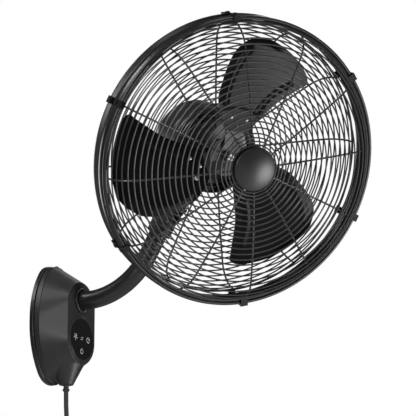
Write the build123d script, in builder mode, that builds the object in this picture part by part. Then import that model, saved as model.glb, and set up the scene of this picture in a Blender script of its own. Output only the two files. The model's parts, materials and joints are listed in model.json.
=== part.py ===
from build123d import *
import os
from math import asin, atan2, cos, degrees, hypot, pi, radians, sin, tan

# Wall-mounted fan: a tapered control housing on the wall, a bent tube arm, a tilting neck,
# and a turning head with a caged three-blade rotor. Millimetres, +Z up, +Y into the wall,
# origin at the middle of the wall plate's back face.

os.makedirs("parts", exist_ok=True)

# ---------------------------------------------------------------- driving dimensions
# fits
running_fit = 0.05          # radial clearance of a shaft or pin in its bore
seat_fit = 0.05             # radial clearance of a piece seated in a fixed hole
face_gap = 0.2              # between faces of clipped or screwed sheet pieces
thread_fit = 0.05           # screw shank in its hole
hole_clearance = 0.3        # screw hole over its screw, on the radius
screw_head_ratio = 1.8      # head radius over shank radius
screw_end_gap = 0.5         # a screw stops this far short of its hole's end
cut_over = 1.0              # cuts run this far past a face

# wall plate and control housing
plate_width = 134.0
plate_height = 224.0
side_corner_z = 50.0        # height where the straight sides turn inwards
top_corner_x = 26.0         # half width of the flat at top and bottom before rounding
end_corner_radius = 45.0
side_corner_radius = 150.0
plate_thickness = 8.5
plate_edge_radius = 2.0
seam_gap = 1.0              # shadow line between plate and housing
seam_inset = 2.0            # housing stands this far inside the plate
flange_depth = 9.5
taper_step = 1.2            # ledge between the housing's flange and its taper
taper_depth = 52.0
front_half_width = 46.0     # outline of the housing's front face
front_top_z = 75.0
front_bottom_z = -78.5
front_corner = 27.0         # its corners are cut this far along each side, then rounded
front_corner_radius = 42.0
housing_wall = 3.0
front_edge_radius = 1.5
mount_spacing_x = 70.0
mount_spacing_z = 140.0
mount_hole_radius = 2.75
tab_width = 22.0
tab_thickness = 6.0
flange_screw_radius = 2.0
flange_screw_length = 10.0
flange_head_radius = 3.6
flange_head_height = 2.0

# control disc on the lower front of the housing
disc_centre_z = -32.0
disc_radius = 43.0
disc_proud = 1.2
disc_depth = 16.0
disc_edge_radius = 1.0
lens_radius = 38.5
lens_edge_radius = 0.6
lens_thickness = 2.5
board_radius = 34.0
board_gap = 0.5
board_thickness = 1.6
spring_radius = 4.0
spring_wall = 1.2
spring_length = 5.0
key_row_z = -30.5
key_spacing = 21.3
power_key_z = -55.0
power_board_width = 70.0
power_board_height = 60.0
power_board_z = -36.0
power_board_out = 20.0
board_part_height = 14.0
relay_width = 15.0
relay_height = 18.0
relay_step = 20.0
relay_up = 12.0
transformer_width = 26.0
transformer_height = 16.0
transformer_across = 18.0
transformer_down = 14.0
board_post_radius = 4.0
board_post_inset = 5.0
board_chip = 14.0           # side of the touch chip behind the keys
board_chip_height = 2.0

# arm tube, from the socket in the housing to the knuckle
tube_radius = 17.0
tube_wall = 2.0
tube_z = 40.0
tube_start_out = 16.0
bend_start_out = 86.0
bend_radius = 150.0
arm_angle = 60.0
socket_radius = 24.0
socket_flange = 62.0
socket_flange_thickness = 6.0
socket_length = 40.0
socket_bolt_inset = 8.0
socket_bolt_radius = 2.5
socket_bolt_head = 3.0
socket_bolt_bite = 5.0      # depth of the screw holes in the wall plate
socket_corner_radius = 6.0
collar_radius = 23.0
collar_proud = 3.5
collar_face = 3.0
collar_dip = 2.0
collar_edge_radius = 1.5
recess_depth = 2.0          # the collar sits in a shallow recess
recess_gap = 1.5
passage_gap = 1.0           # round the tube where it enters the housing
knuckle_radius = 22.5
knuckle_start = 38.0        # along the arm line from the end of the bend
knuckle_length = 31.0
knuckle_edge_radius = 2.0
knuckle_bore_radius = 12.0  # for the wires, past the tube's end
tube_end = 62.0
hinge_at = 97.0
ear_radius = 17.0
ear_thickness = 8.0
ear_root = 1.0              # the ears and the tongue run this far into their bodies
tongue_thickness = 20.0
washer_thickness = 1.0
washer_radius = 14.0
tilt_bolt_radius = 5.0
bolt_head_height = 6.0
knob_radius = 13.0
knob_length = 16.0
knob_cap = 2.0              # closed end of the knob
knob_flutes = 6
knob_flute_radius = 5.0
knob_flute_out = 2.5        # flute centres lie this far outside the knob
knob_edge_radius = 1.2
set_screw_radius = 3.0
set_screw_along = 12.0
set_screw_sunk = 1.0

# neck and swivel
neck_base_start = 116.0
neck_base_height = 12.0
neck_edge_radius = 1.5
post_foot = 2.0             # floor left under the swivel post
post_end_gap = 0.6
thrust_washer_thickness = 1.0
thrust_washer_inset = 3.0
post_radius = 9.0
gear_seat_radius = 7.0
bush_radius = 12.0
bush_length = 19.0
gear_lift = 1.0             # between the bush and the swivel gear
gear_thickness = 6.0
gear_module = 1.5
tooth_root = 1.3            # tooth sizes in modules: root depth, tip height, half widths
tooth_tip = 0.75
tooth_base_half = 0.95
tooth_tip_half = 0.36
tooth_sunk = 0.6            # teeth start this far inside the root circle, in millimetres
swivel_teeth = 24
pinion_teeth = 14
circlip_thickness = 1.0
circlip_groove = 1.0
circlip_reach = 2.0
circlip_fit = 0.02          # on each face, in its groove
circlip_headroom = 1.6
gearbox_radius = 25.0
gearbox_wall = 3.5
pinion_room = 3.0           # round the pinion in its pocket
osc_radius = 13.0
osc_body_length = 14.0
osc_shaft_radius = 3.0
osc_shaft_root = 1.0
osc_offset = 8.0            # the small motor's body stands behind its shaft

# head placing: the fan axis crosses the swivel axis this far along the arm line
head_at = 222.0
pan_at_rest = 30.0

# motor
frame_outer = 62.0
frame_inner = 56.0
frame_back = -20.0
frame_front = 44.0
end_plate_thickness = 6.0
stator_inner = 31.0
stator_back = -4.0
stator_front = 28.0
winding_depth = 12.0
winding_outer = 44.0
winding_inner = 33.0
winding_round = 4.0
rotor_gap = 0.5
shaft_radius = 6.0
bearing_outer = 14.0
bearing_width = 9.0
bearing_boss_wall = 6.0
bearing_boss_depth = 5.0    # the bosses stand this far into the motor
shaft_hole_gap = 1.0
motor_bolt_circle = 50.0
motor_bolt_radius = 2.5
motor_bolt_head = 3.5
cover_post_circle = 44.0
cover_post_radius = 6.0
cover_post_thread = 8.0
saddle_sunk = 2.0           # the gearbox saddle reaches this far into the frame's wall
saddle_gap = 0.5            # keeps the saddle clear of the rear end plate
rear_cover_radius = 76.0
front_cover_radius = 79.0
cover_wall = 2.5
cover_seam = 15.0
rear_cover_depth = 77.0
front_cover_front = 62.5
cover_round = 34.0
front_cover_round = 10.0
hub_opening = 6.0           # room round the rotor's collar
gearbox_clearance = 1.5
cover_cut_end = 30.0        # the gearbox's opening in the covers ends this far below the fan axis

# drum and grilles, measured along the fan axis from the swivel axis
rear_lip_at = 120.0
front_lip_at = 172.0
drum_radius = 260.0
drum_groove = 6.0
drum_swell = 1.5
drum_wall = 1.8
bead_radius = 3.5
bead_proud = 2.0            # the bead stands out of the drum's side
lip_width = 4.0
groove_lead = 3.0           # slope from the rear lip down to the groove
groove_width = 10.0
swell_lead = 2.0            # the swell's crown lies this far behind its middle
bead_neck = 1.0             # the drum's side meets the bead this far inside its ring
swell_to_bead = 4.0
front_clip_screw_back = 5.5 # from the bead's middle
ring_wire = 1.2             # half the width across the flats
ring_wire_sides = 8
radial_wire = 1.5
rim_wire = 2.2
weld_depth = 0.4            # crossing wires sink into each other this far
radial_count = 12
front_crown_height = 228.9
front_crown_radius = 1075.0
front_crown_angle = 11.4
front_shoulder_radius = 52.0
front_end_angle = 76.0
rear_crown_height = 64.2
rear_crown_radius = 1500.0
rear_crown_angle = 7.95
rear_shoulder_radius = 46.0
rear_end_angle = 87.5
ring_pitch = 10.4
inner_ring_length = 43.0
inner_ring_steps = (0.0, 6.0, 12.5, 20.0)
rear_inner_length = 66.0
front_spoke_start = 31.5
rear_spoke_start = 40.0
grille_plate_radius = 60.0
grille_plate_thickness = 4.0
grille_screw_radius = 2.5
grille_screw_head = 2.5
grille_screw_bite = 7.0     # into the front end plate's posts
badge_radius = 39.5
badge_rim = 5.0
badge_dome = 8.0
badge_lift = 0.2            # over the grille's crown
badge_plate_thickness = 1.5
badge_plate_sunk = 1.3      # the plate's back lies this far behind the spokes
badge_stud_radius = 2.5
badge_stud_end = 3.0
clip_count = 6
clip_width = 13.0
clip_thickness = 2.5
clip_screw_radius = 1.95
clip_screw_head_radius = 4.0
clip_screw_head = 3.0
clip_hole_radius = 2.0
clip_screw_bite = 5.0       # past the groove's face
clip_rim_overlap = 0.9      # the clips' plates reach this far over the rim wires
clip_leg_past = 4.5         # the legs end this far past their screws

# rotor
blade_count = 3
blade_plane_at = 118.0
blade_first_angle = 101.0
blade_slope = 0.30
blade_camber = 0.00125
blade_thickness = 1.5
blade_flat_to = 84.0
arm_plate_thickness = 2.5
arm_plate_half_width = 27.0
arm_plate_start = 10.0
arm_plate_end = 84.0
arm_flare = 30.0            # the arm plates widen over this last stretch
arm_flare_step = 5.0
hub_radius = 36.0
hub_collar_radius = 16.0
hub_collar_length = 22.0
nut_recess_gap = 3.0
nut_recess_length = 12.0
rivet_radius = 2.0
rivet_head_radius = 4.0
rivet_head_height = 1.6
rivet_tail_radius = 3.2
rivet_tail_height = 1.4
rivet_seat = 0.05           # between a rivet's head and the blade
hub_nut_radius = 11.0
hub_nut_height = 9.0
shaft_end = 3.0             # the shaft stands this far out of its rear plate and of the nut
end_ring_length = 6.0       # the rotor's end rings
end_ring_inset = 4.0
end_ring_width = 6.0

# supply cord
cord_radius = 4.3
cord_out = 39.0
boss_radius = 13.0
boss_taper = 27.5           # the boss widens upwards into a chin
boss_length = 36.5
boss_bottom_z = -115.0
gland_neck_radius = 6.0
gland_bottom_z = -127.0
gland_seat = 23.0           # length held inside the boss
gland_waist_radius = 5.0
gland_collar_radius = 6.6
gland_collar_height = 2.5
gland_collar_up = 4.0       # the collar's top over the gland's end
gland_tip_radius = 5.4
tie_wall = 1.2
tie_height = 8.0
tie_clear = 0.7
tie_corner = 3.0
relief_length = 22.0
relief_radius = 5.4
relief_sunk = 2.0
relief_ribs = 4
relief_rib_step = 4.4
relief_rib_width = 2.2
relief_rib_rise = 1.3
relief_rib_growth = 0.2
relief_rib_start = 4.0
plug_width = 26.0
plug_depth = 17.0
plug_length = 27.0
plug_corner = 6.0
plug_edge_radius = 1.0
pin_spacing = 12.7
pin_thickness = 1.5
pin_width = 6.3
pin_length = 17.0
pin_seat = 8.0
pin_hole_radius = 1.6
pin_hole_inset = 4.0
coil_turns = 3              # turns in each of the two layers
coil_gap = 0.7
coil_outer_radius = 56.0

# ---------------------------------------------------------------- frames and shared places
wall_plane = Plane(origin=(0, 0, 0), x_dir=(1, 0, 0), z_dir=(0, -1, 0))
side_plane = Plane(origin=(0, 0, 0), x_dir=(0, -1, 0), z_dir=(-1, 0, 0))

flange_back = plate_thickness + seam_gap
taper_start = flange_back + flange_depth
front_face = taper_start + taper_depth
disc_front = front_face + disc_proud
lens_back = disc_front - lens_thickness

# The arm line starts where the bend ends and runs up and outwards at the arm angle.
bend_end_out = bend_start_out + bend_radius * sin(radians(arm_angle))
bend_end_z = tube_z + bend_radius * (1 - cos(radians(arm_angle)))
arm_direction = Vector(0, -cos(radians(arm_angle)), sin(radians(arm_angle)))
arm_plane = Plane(origin=(0, -bend_end_out, bend_end_z), x_dir=(1, 0, 0), z_dir=arm_direction)
hinge_point = arm_plane.offset(hinge_at).origin
hinge_plane = Plane(origin=hinge_point, x_dir=arm_direction, z_dir=(1, 0, 0))


def turned(plane, angle):
    """The same plane turned about its own normal."""
    spin = Axis((0, 0, 0), plane.z_dir)
    return Plane(origin=plane.origin, x_dir=plane.x_dir.rotate(spin, angle), z_dir=plane.z_dir)


def tipped(plane, angle):
    """The same plane tipped about its own x direction."""
    tip = Axis((0, 0, 0), plane.x_dir)
    return Plane(origin=plane.origin, x_dir=plane.x_dir, z_dir=plane.z_dir.rotate(tip, angle))


# The head turns about the arm line. At rest it is turned towards -X.
swivel_plane = turned(arm_plane.offset(head_at), -pan_at_rest)
head_origin = swivel_plane.origin
fan_direction = swivel_plane.y_dir * -1
head_plane = Plane(origin=head_origin, x_dir=swivel_plane.x_dir, z_dir=fan_direction)
head_axis = Axis(head_origin, fan_direction)
swivel_axis = Axis(head_origin, arm_direction)


def profile_at(angle, forward=1):
    """Plane through the fan axis at an angle round it: x is the radius, y the height along it."""
    facing = turned(head_plane, angle)
    return Plane(origin=head_origin, x_dir=facing.x_dir, z_dir=facing.y_dir * -forward)


# Turned pieces start between the clips and spokes, which stand at multiples of 30 degrees.
head_profile = profile_at(15)
rear_profile = profile_at(15, forward=-1)


def swivel_level(along_arm):
    """Plane square to the swivel axis, in the head's direction, at a distance along the arm line."""
    return swivel_plane.offset(along_arm - head_at)


def disc(plane, outer, inner=0.0):
    """Flat disc, or ring where an inner radius is given."""
    with BuildSketch(plane) as face:
        Circle(outer)
        if inner > 0:
            Circle(inner, mode=Mode.SUBTRACT)
    return face.sketch


def holes(plane, places, radius):
    """Circles at a list of places on one plane."""
    with BuildSketch(plane) as face:
        with Locations(*places):
            Circle(radius)
    return face.sketch


# ---------------------------------------------------------------- wall plate and housing
def rounded_octagon(plane, half_width, end_x, upper, lower, side_radius, end_radius, inset):
    """Face with two straight sides and two narrowed ends, its corners rounded, drawn inwards
    by an inset; upper and lower hold the height of each end and of its side corners."""
    side_turn = atan2(half_width - end_x, upper[0] - upper[1])
    side_shift = inset * tan(side_turn / 2)
    end_shift = inset * tan((pi / 2 - side_turn) / 2)
    side = half_width - inset
    end = end_x - end_shift
    with BuildSketch(plane) as outline:
        with BuildLine():
            Polyline(
                (side, upper[1] - side_shift),
                (end, upper[0] - inset),
                (-end, upper[0] - inset),
                (-side, upper[1] - side_shift),
                (-side, lower[1] + side_shift),
                (-end, lower[0] + inset),
                (end, lower[0] + inset),
                (side, lower[1] + side_shift),
                close=True,
            )
        make_face()
        side_corners = [corner for corner in outline.vertices() if abs(corner.X) > side - 1]
        fillet(side_corners, radius=side_radius - inset)
        end_corners = [corner for corner in outline.vertices() if abs(abs(corner.X) - end) < 0.01]
        fillet(end_corners, radius=end_radius - inset)
    return outline.sketch


def pod_outline(plane, inset):
    """Outline of the wall plate and of the housing's flange."""
    half_height = plate_height / 2
    return rounded_octagon(
        plane,
        plate_width / 2,
        top_corner_x,
        (half_height, side_corner_z),
        (-half_height, -side_corner_z),
        side_corner_radius,
        end_corner_radius,
        inset,
    )


def front_outline(plane, inset):
    """Outline of the housing's front face."""
    return rounded_octagon(
        plane,
        front_half_width,
        front_half_width - front_corner,
        (front_top_z, front_top_z - front_corner),
        (front_bottom_z, front_bottom_z + front_corner),
        front_corner_radius,
        front_corner_radius,
        inset,
    )


mount_places = [
    (sx * mount_spacing_x / 2, sz * mount_spacing_z / 2) for sx in (-1, 1) for sz in (-1, 1)
]
socket_bolt_offset = socket_flange / 2 - socket_bolt_inset
socket_bolt_places = [
    (sx * socket_bolt_offset, tube_z + sz * socket_bolt_offset) for sx in (-1, 1) for sz in (-1, 1)
]
tab_outer_z = plate_height / 2 - seam_inset - housing_wall - face_gap
tab_out = flange_back + flange_depth / 2
flange_top_z = plate_height / 2 - seam_inset

with BuildPart() as wall_plate:
    extrude(pod_outline(wall_plane, 0), amount=plate_thickness)
    front_edges = wall_plate.faces().sort_by(Axis.Y)[0].edges()
    fillet(front_edges, radius=plate_edge_radius)
    for side in (-1, 1):
        with BuildSketch(wall_plane):
            add(pod_outline(Plane.XY, seam_inset + housing_wall + face_gap))
            with Locations((0, side * (tab_outer_z - tab_thickness / 2))):
                Rectangle(tab_width, tab_thickness, mode=Mode.INTERSECT)
        extrude(amount=taper_start - face_gap)
        tab_screw_plane = Plane(origin=(0, -tab_out, 0), x_dir=(1, 0, 0), z_dir=(0, 0, side))
        extrude(
            disc(tab_screw_plane.offset(tab_outer_z - tab_thickness), flange_screw_radius),
            amount=tab_thickness,
            mode=Mode.SUBTRACT,
        )
    extrude(
        holes(wall_plane, mount_places, mount_hole_radius), amount=plate_thickness, mode=Mode.SUBTRACT
    )
    extrude(
        holes(wall_plane.offset(plate_thickness - socket_bolt_bite), socket_bolt_places, socket_bolt_radius),
        amount=socket_bolt_bite,
        mode=Mode.SUBTRACT,
    )

board_post_x = power_board_width / 2 - board_post_inset
board_post_z = power_board_height / 2 - board_post_inset
board_post_places = [
    (sx * board_post_x, power_board_z + sz * board_post_z)
    for sx in (-1, 1)
    for sz in (-1, 1)
]

with BuildPart() as pod_housing:
    extrude(pod_outline(wall_plane.offset(flange_back), seam_inset), amount=flange_depth)
    loft(
        [
            pod_outline(wall_plane.offset(taper_start), seam_inset + taper_step),
            front_outline(wall_plane.offset(front_face), 0),
        ],
        ruled=True,
    )
    fillet(pod_housing.faces().sort_by(Axis.Y)[0].edges(), radius=front_edge_radius)
    # control disc standing just proud of the front face
    extrude(
        holes(wall_plane.offset(disc_front - disc_depth), [(0, disc_centre_z)], disc_radius),
        amount=disc_depth,
    )
    disc_rim = pod_housing.edges().filter_by(GeomType.CIRCLE).sort_by(Axis.Y)[0]
    fillet(disc_rim, radius=disc_edge_radius)
    # boss that the cord leaves from
    extrude(
        disc(Plane(origin=(0, -cord_out, boss_bottom_z)), boss_radius),
        amount=boss_length,
        taper=-boss_taper,
    )
    extrude(pod_outline(wall_plane, seam_inset), amount=flange_back, mode=Mode.SUBTRACT)
    # hollow inside
    extrude(
        pod_outline(wall_plane.offset(flange_back), seam_inset + housing_wall),
        amount=flange_depth,
        mode=Mode.SUBTRACT,
    )
    loft(
        [
            pod_outline(wall_plane.offset(taper_start), seam_inset + housing_wall + taper_step),
            front_outline(wall_plane.offset(front_face - housing_wall), housing_wall),
        ],
        ruled=True,
        mode=Mode.SUBTRACT,
    )
    # openings: tube recess, tube, lens seat, board opening, cord gland, flange screws
    extrude(
        holes(wall_plane.offset(front_face - recess_depth), [(0, tube_z)], collar_radius + recess_gap),
        amount=recess_depth,
        mode=Mode.SUBTRACT,
    )
    extrude(
        holes(wall_plane.offset(front_face - 2 * housing_wall), [(0, tube_z)], tube_radius + passage_gap),
        amount=2 * housing_wall,
        mode=Mode.SUBTRACT,
    )
    extrude(
        holes(wall_plane.offset(lens_back), [(0, disc_centre_z)], lens_radius + seat_fit),
        amount=lens_thickness,
        mode=Mode.SUBTRACT,
    )
    extrude(
        holes(wall_plane.offset(disc_front - disc_depth), [(0, disc_centre_z)], board_radius + board_gap),
        amount=disc_depth,
        mode=Mode.SUBTRACT,
    )
    extrude(
        disc(Plane(origin=(0, -cord_out, boss_bottom_z)), gland_neck_radius + seat_fit),
        amount=boss_length,
        mode=Mode.SUBTRACT,
    )
    for side in (-1, 1):
        flange_plane = Plane(origin=(0, -tab_out, 0), x_dir=(1, 0, 0), z_dir=(0, 0, side))
        extrude(
            disc(flange_plane.offset(tab_outer_z), flange_screw_radius + hole_clearance),
            amount=flange_top_z - tab_outer_z + cut_over,
            mode=Mode.SUBTRACT,
        )

with BuildPart() as housing_screws:
    for side in (-1, 1):
        screw_plane = Plane(origin=(0, -tab_out, 0), x_dir=(1, 0, 0), z_dir=(0, 0, side))
        extrude(disc(screw_plane.offset(flange_top_z), flange_head_radius), amount=flange_head_height)
        extrude(
            disc(screw_plane.offset(flange_top_z), flange_screw_radius - thread_fit),
            amount=-flange_screw_length,
        )

# ---------------------------------------------------------------- arm: socket, collar, tube
with BuildPart() as tube_socket:
    with BuildSketch(wall_plane.offset(plate_thickness)):
        with Locations((0, tube_z)):
            RectangleRounded(socket_flange, socket_flange, socket_corner_radius)
    extrude(amount=socket_flange_thickness)
    extrude(
        holes(wall_plane.offset(plate_thickness), [(0, tube_z)], socket_radius), amount=socket_length
    )
    extrude(
        holes(wall_plane.offset(tube_start_out), [(0, tube_z)], tube_radius + seat_fit),
        amount=socket_length,
        mode=Mode.SUBTRACT,
    )
    extrude(
        holes(wall_plane.offset(plate_thickness), socket_bolt_places, socket_bolt_radius + hole_clearance),
        amount=socket_flange_thickness,
        mode=Mode.SUBTRACT,
    )

with BuildPart() as socket_screws:
    extrude(
        holes(
            wall_plane.offset(plate_thickness + socket_flange_thickness),
            socket_bolt_places,
            socket_bolt_radius * screw_head_ratio,
        ),
        amount=socket_bolt_head,
    )
    extrude(
        holes(
            wall_plane.offset(plate_thickness + socket_flange_thickness),
            socket_bolt_places,
            socket_bolt_radius - thread_fit,
        ),
        amount=-(socket_flange_thickness + socket_bolt_bite - screw_end_gap),
    )

with BuildPart() as tube_collar:
    with BuildSketch(side_plane):
        with BuildLine():
            Polyline(
                (front_face - recess_depth, tube_z + tube_radius + seat_fit),
                (front_face - recess_depth, tube_z + collar_radius),
                (front_face + collar_proud, tube_z + collar_radius),
                (front_face + collar_proud, tube_z + collar_radius - collar_face),
                (front_face + collar_proud - collar_dip, tube_z + tube_radius + seat_fit),
                close=True,
            )
        make_face()
    revolve(axis=Axis((0, 0, tube_z), (0, -1, 0)))
    outer_edge = tube_collar.edges().filter_by(GeomType.CIRCLE).group_by(Axis.Y)[0]
    fillet(outer_edge.sort_by(SortBy.RADIUS)[-1], radius=collar_edge_radius)


def tube_path(start_out, end_along):
    """Centre line of the arm: straight out of the wall, one bend, straight along the arm line."""
    with BuildLine(side_plane) as path:
        Line((start_out, tube_z), (bend_start_out, tube_z))
        JernArc(start=(bend_start_out, tube_z), tangent=(1, 0), radius=bend_radius, arc_size=arm_angle)
        last_out = bend_end_out + end_along * cos(radians(arm_angle))
        last_z = bend_end_z + end_along * sin(radians(arm_angle))
        Line((bend_end_out, bend_end_z), (last_out, last_z))
    return path.wire()


with BuildPart() as arm_tube:
    sweep(
        disc(Plane(origin=(0, -tube_start_out, tube_z), x_dir=(1, 0, 0), z_dir=(0, -1, 0)),
             tube_radius, tube_radius - tube_wall),
        path=tube_path(tube_start_out, tube_end),
    )

# ---------------------------------------------------------------- knuckle and tilt hinge
knuckle_top = knuckle_start + knuckle_length
ear_inner = tongue_thickness / 2 + washer_thickness
ear_outer = ear_inner + ear_thickness


def hinge_plate(inner, thickness, reach):
    """Rounded plate about the hinge axis, reaching along the arm line by a signed distance."""
    with BuildPart() as plate:
        with BuildSketch(hinge_plane.offset(inner)):
            Circle(ear_radius)
            with Locations((reach / 2, 0)):
                Rectangle(abs(reach), 2 * ear_radius)
        extrude(amount=thickness)
    return plate.part


with BuildPart() as arm_knuckle:
    extrude(disc(arm_plane.offset(knuckle_start), knuckle_radius), amount=knuckle_length)
    fillet(arm_knuckle.edges().sort_by(swivel_axis)[0], radius=knuckle_edge_radius)
    add(hinge_plate(ear_inner, ear_thickness, knuckle_top - hinge_at - ear_root))
    add(hinge_plate(-ear_outer, ear_thickness, knuckle_top - hinge_at - ear_root))
    extrude(
        disc(arm_plane.offset(knuckle_start), tube_radius + seat_fit),
        amount=tube_end - knuckle_start,
        mode=Mode.SUBTRACT,
    )
    extrude(
        disc(arm_plane.offset(tube_end), knuckle_bore_radius),
        amount=knuckle_top - tube_end,
        mode=Mode.SUBTRACT,
    )
    extrude(
        disc(hinge_plane.offset(-ear_outer), tilt_bolt_radius + seat_fit),
        amount=2 * ear_outer,
        mode=Mode.SUBTRACT,
    )
    knuckle_screw_plane = Plane(
        origin=arm_plane.offset(knuckle_start + set_screw_along).origin,
        x_dir=(1, 0, 0),
        z_dir=arm_plane.y_dir,
    )
    extrude(
        disc(knuckle_screw_plane.offset(tube_radius), set_screw_radius),
        amount=knuckle_radius,
        mode=Mode.SUBTRACT,
    )

with BuildPart() as knuckle_screw:
    extrude(
        disc(knuckle_screw_plane.offset(tube_radius + seat_fit), set_screw_radius - thread_fit),
        amount=knuckle_radius - tube_radius - set_screw_sunk,
    )

with BuildPart() as tilt_bolt:
    extrude(
        disc(hinge_plane.offset(-ear_outer), tilt_bolt_radius),
        amount=2 * ear_outer + knob_length - knob_cap - screw_end_gap,
    )
    with BuildSketch(hinge_plane.offset(-ear_outer)):
        RegularPolygon(tilt_bolt_radius * screw_head_ratio, 6)
    extrude(amount=-bolt_head_height)

with BuildPart() as tilt_knob:
    with BuildSketch(hinge_plane.offset(ear_outer)):
        Circle(knob_radius)
        with PolarLocations(knob_radius + knob_flute_out, knob_flutes):
            Circle(knob_flute_radius, mode=Mode.SUBTRACT)
    extrude(amount=knob_length)
    extrude(
        disc(hinge_plane.offset(ear_outer), tilt_bolt_radius + seat_fit),
        amount=knob_length - knob_cap,
        mode=Mode.SUBTRACT,
    )
    fillet(tilt_knob.faces().sort_by(Axis.X)[-1].edges(), radius=knob_edge_radius)

with BuildPart() as friction_washers:
    for washer_at in (tongue_thickness / 2, -ear_inner):
        extrude(
            disc(hinge_plane.offset(washer_at), washer_radius, tilt_bolt_radius + running_fit),
            amount=washer_thickness,
        )

# ---------------------------------------------------------------- neck, post and gears
post_start = neck_base_start + neck_base_height
frame_start = post_start + thrust_washer_thickness
bush_end = frame_start + bush_length
gear_start = bush_end + gear_lift
gear_end = gear_start + gear_thickness
circlip_start = gear_end + face_gap
pocket_end = circlip_start + circlip_thickness + circlip_headroom
gear_distance = gear_module * (swivel_teeth + pinion_teeth) / 2
saddle_start = pocket_end
post_start_at = neck_base_start + post_foot

with BuildPart() as tilt_neck:
    add(hinge_plate(-tongue_thickness / 2, tongue_thickness, neck_base_start - hinge_at + ear_root))
    extrude(disc(arm_plane.offset(neck_base_start), knuckle_radius), amount=neck_base_height)
    neck_rim = tilt_neck.edges().filter_by(GeomType.CIRCLE).sort_by(swivel_axis)[-1]
    fillet(neck_rim, radius=neck_edge_radius)
    extrude(
        disc(hinge_plane.offset(-tongue_thickness / 2), tilt_bolt_radius + running_fit),
        amount=tongue_thickness,
        mode=Mode.SUBTRACT,
    )
    extrude(
        disc(arm_plane.offset(post_start_at), post_radius + seat_fit),
        amount=neck_base_height,
        mode=Mode.SUBTRACT,
    )

with BuildPart() as swivel_post:
    extrude(disc(arm_plane.offset(post_start_at), post_radius), amount=bush_end - post_start_at)
    extrude(disc(arm_plane.offset(bush_end), gear_seat_radius), amount=pocket_end - bush_end - post_end_gap)
    extrude(
        disc(arm_plane.offset(circlip_start), gear_seat_radius, gear_seat_radius - circlip_groove),
        amount=circlip_thickness,
        mode=Mode.SUBTRACT,
    )

with BuildPart() as post_circlip:
    extrude(
        disc(
            arm_plane.offset(circlip_start + circlip_fit),
            gear_seat_radius + circlip_reach,
            gear_seat_radius - circlip_groove + seat_fit,
        ),
        amount=circlip_thickness - 2 * circlip_fit,
    )

with BuildPart() as thrust_washer:
    extrude(
        disc(arm_plane.offset(post_start), knuckle_radius - thrust_washer_inset, post_radius + running_fit),
        amount=thrust_washer_thickness,
    )


def gear_face(plane, teeth, turn):
    """Spur gear outline: straight-sided teeth thinned for backlash, the first at an angle."""
    pitch_radius = gear_module * teeth / 2
    root_radius = pitch_radius - tooth_root * gear_module
    tip_radius = pitch_radius + tooth_tip * gear_module
    base_half = tooth_base_half * gear_module
    tip_half = tooth_tip_half * gear_module
    with BuildSketch(plane) as outline:
        Circle(root_radius)
        with PolarLocations(0, teeth, start_angle=turn):
            with BuildLine():
                Polyline(
                    (root_radius - tooth_sunk, -base_half),
                    (tip_radius, -tip_half),
                    (tip_radius, tip_half),
                    (root_radius - tooth_sunk, base_half),
                    close=True,
                )
            make_face()
    return outline.sketch


# The pinion stands behind the post, seen from the front of the fan.
pinion_plane = Plane(
    origin=swivel_level(gear_start).from_local_coords((0, gear_distance, 0)),
    x_dir=swivel_plane.x_dir,
    z_dir=arm_direction,
)
osc_plane = Plane(
    origin=swivel_level(frame_start).from_local_coords((0, gear_distance + osc_offset, 0)),
    x_dir=swivel_plane.x_dir,
    z_dir=arm_direction,
)

with BuildPart() as swivel_gear:
    extrude(gear_face(swivel_level(gear_start), swivel_teeth, 90), amount=gear_thickness)
    extrude(
        disc(swivel_level(gear_start), gear_seat_radius + seat_fit),
        amount=gear_thickness,
        mode=Mode.SUBTRACT,
    )

with BuildPart() as osc_pinion:
    extrude(gear_face(pinion_plane, pinion_teeth, -90 + 180 / pinion_teeth), amount=gear_thickness)
    extrude(disc(pinion_plane, osc_shaft_radius + running_fit), amount=gear_thickness, mode=Mode.SUBTRACT)


def gearbox_face(plane, front_radius, rear_radius, rear_at):
    """Round front about the swivel axis joined to a smaller round rear."""
    with BuildSketch(plane) as outline:
        Circle(front_radius)
        with Locations((0, rear_at)):
            Circle(rear_radius)
        make_hull()
    return outline.sketch


osc_at = gear_distance + osc_offset
osc_top = frame_start + osc_body_length
gearbox_rear = osc_radius + gearbox_wall

with BuildPart() as gearbox_housing:
    extrude(
        gearbox_face(swivel_level(frame_start), gearbox_radius, gearbox_rear, osc_at),
        amount=pocket_end - frame_start,
    )
    extrude(disc(swivel_level(frame_start), bush_radius + seat_fit), amount=bush_length, mode=Mode.SUBTRACT)
    extrude(
        gearbox_face(swivel_level(bush_end), gearbox_radius - gearbox_wall,
                     gear_module * pinion_teeth / 2 + pinion_room, gear_distance),
        amount=pocket_end - bush_end,
        mode=Mode.SUBTRACT,
    )
    extrude(disc(osc_plane, osc_radius + seat_fit), amount=osc_body_length, mode=Mode.SUBTRACT)
    extrude(
        disc(pinion_plane.offset(osc_top - gear_start), osc_shaft_radius + shaft_hole_gap),
        amount=bush_end - osc_top,
        mode=Mode.SUBTRACT,
    )

with BuildPart() as swivel_bush:
    extrude(disc(arm_plane.offset(frame_start), bush_radius, post_radius + running_fit), amount=bush_length)

with BuildPart() as osc_motor:
    extrude(disc(osc_plane, osc_radius), amount=osc_body_length)
    extrude(
        disc(pinion_plane.offset(osc_top - gear_start - osc_shaft_root), osc_shaft_radius),
        amount=gear_end - osc_top + osc_shaft_root,
    )

# ---------------------------------------------------------------- motor
frame_length = frame_front - frame_back
saddle_height = head_at - frame_inner + saddle_sunk - saddle_start
saddle_shift = -frame_back - gearbox_radius - saddle_gap

with BuildPart() as motor_frame:
    extrude(disc(head_plane.offset(frame_back), frame_outer), amount=frame_length)
    extrude(
        holes(swivel_level(saddle_start), [(0, saddle_shift)], gearbox_radius), amount=saddle_height
    )
    extrude(
        disc(head_plane.offset(-rear_cover_depth), frame_inner),
        amount=rear_cover_depth + frame_front,
        mode=Mode.SUBTRACT,
    )

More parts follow.
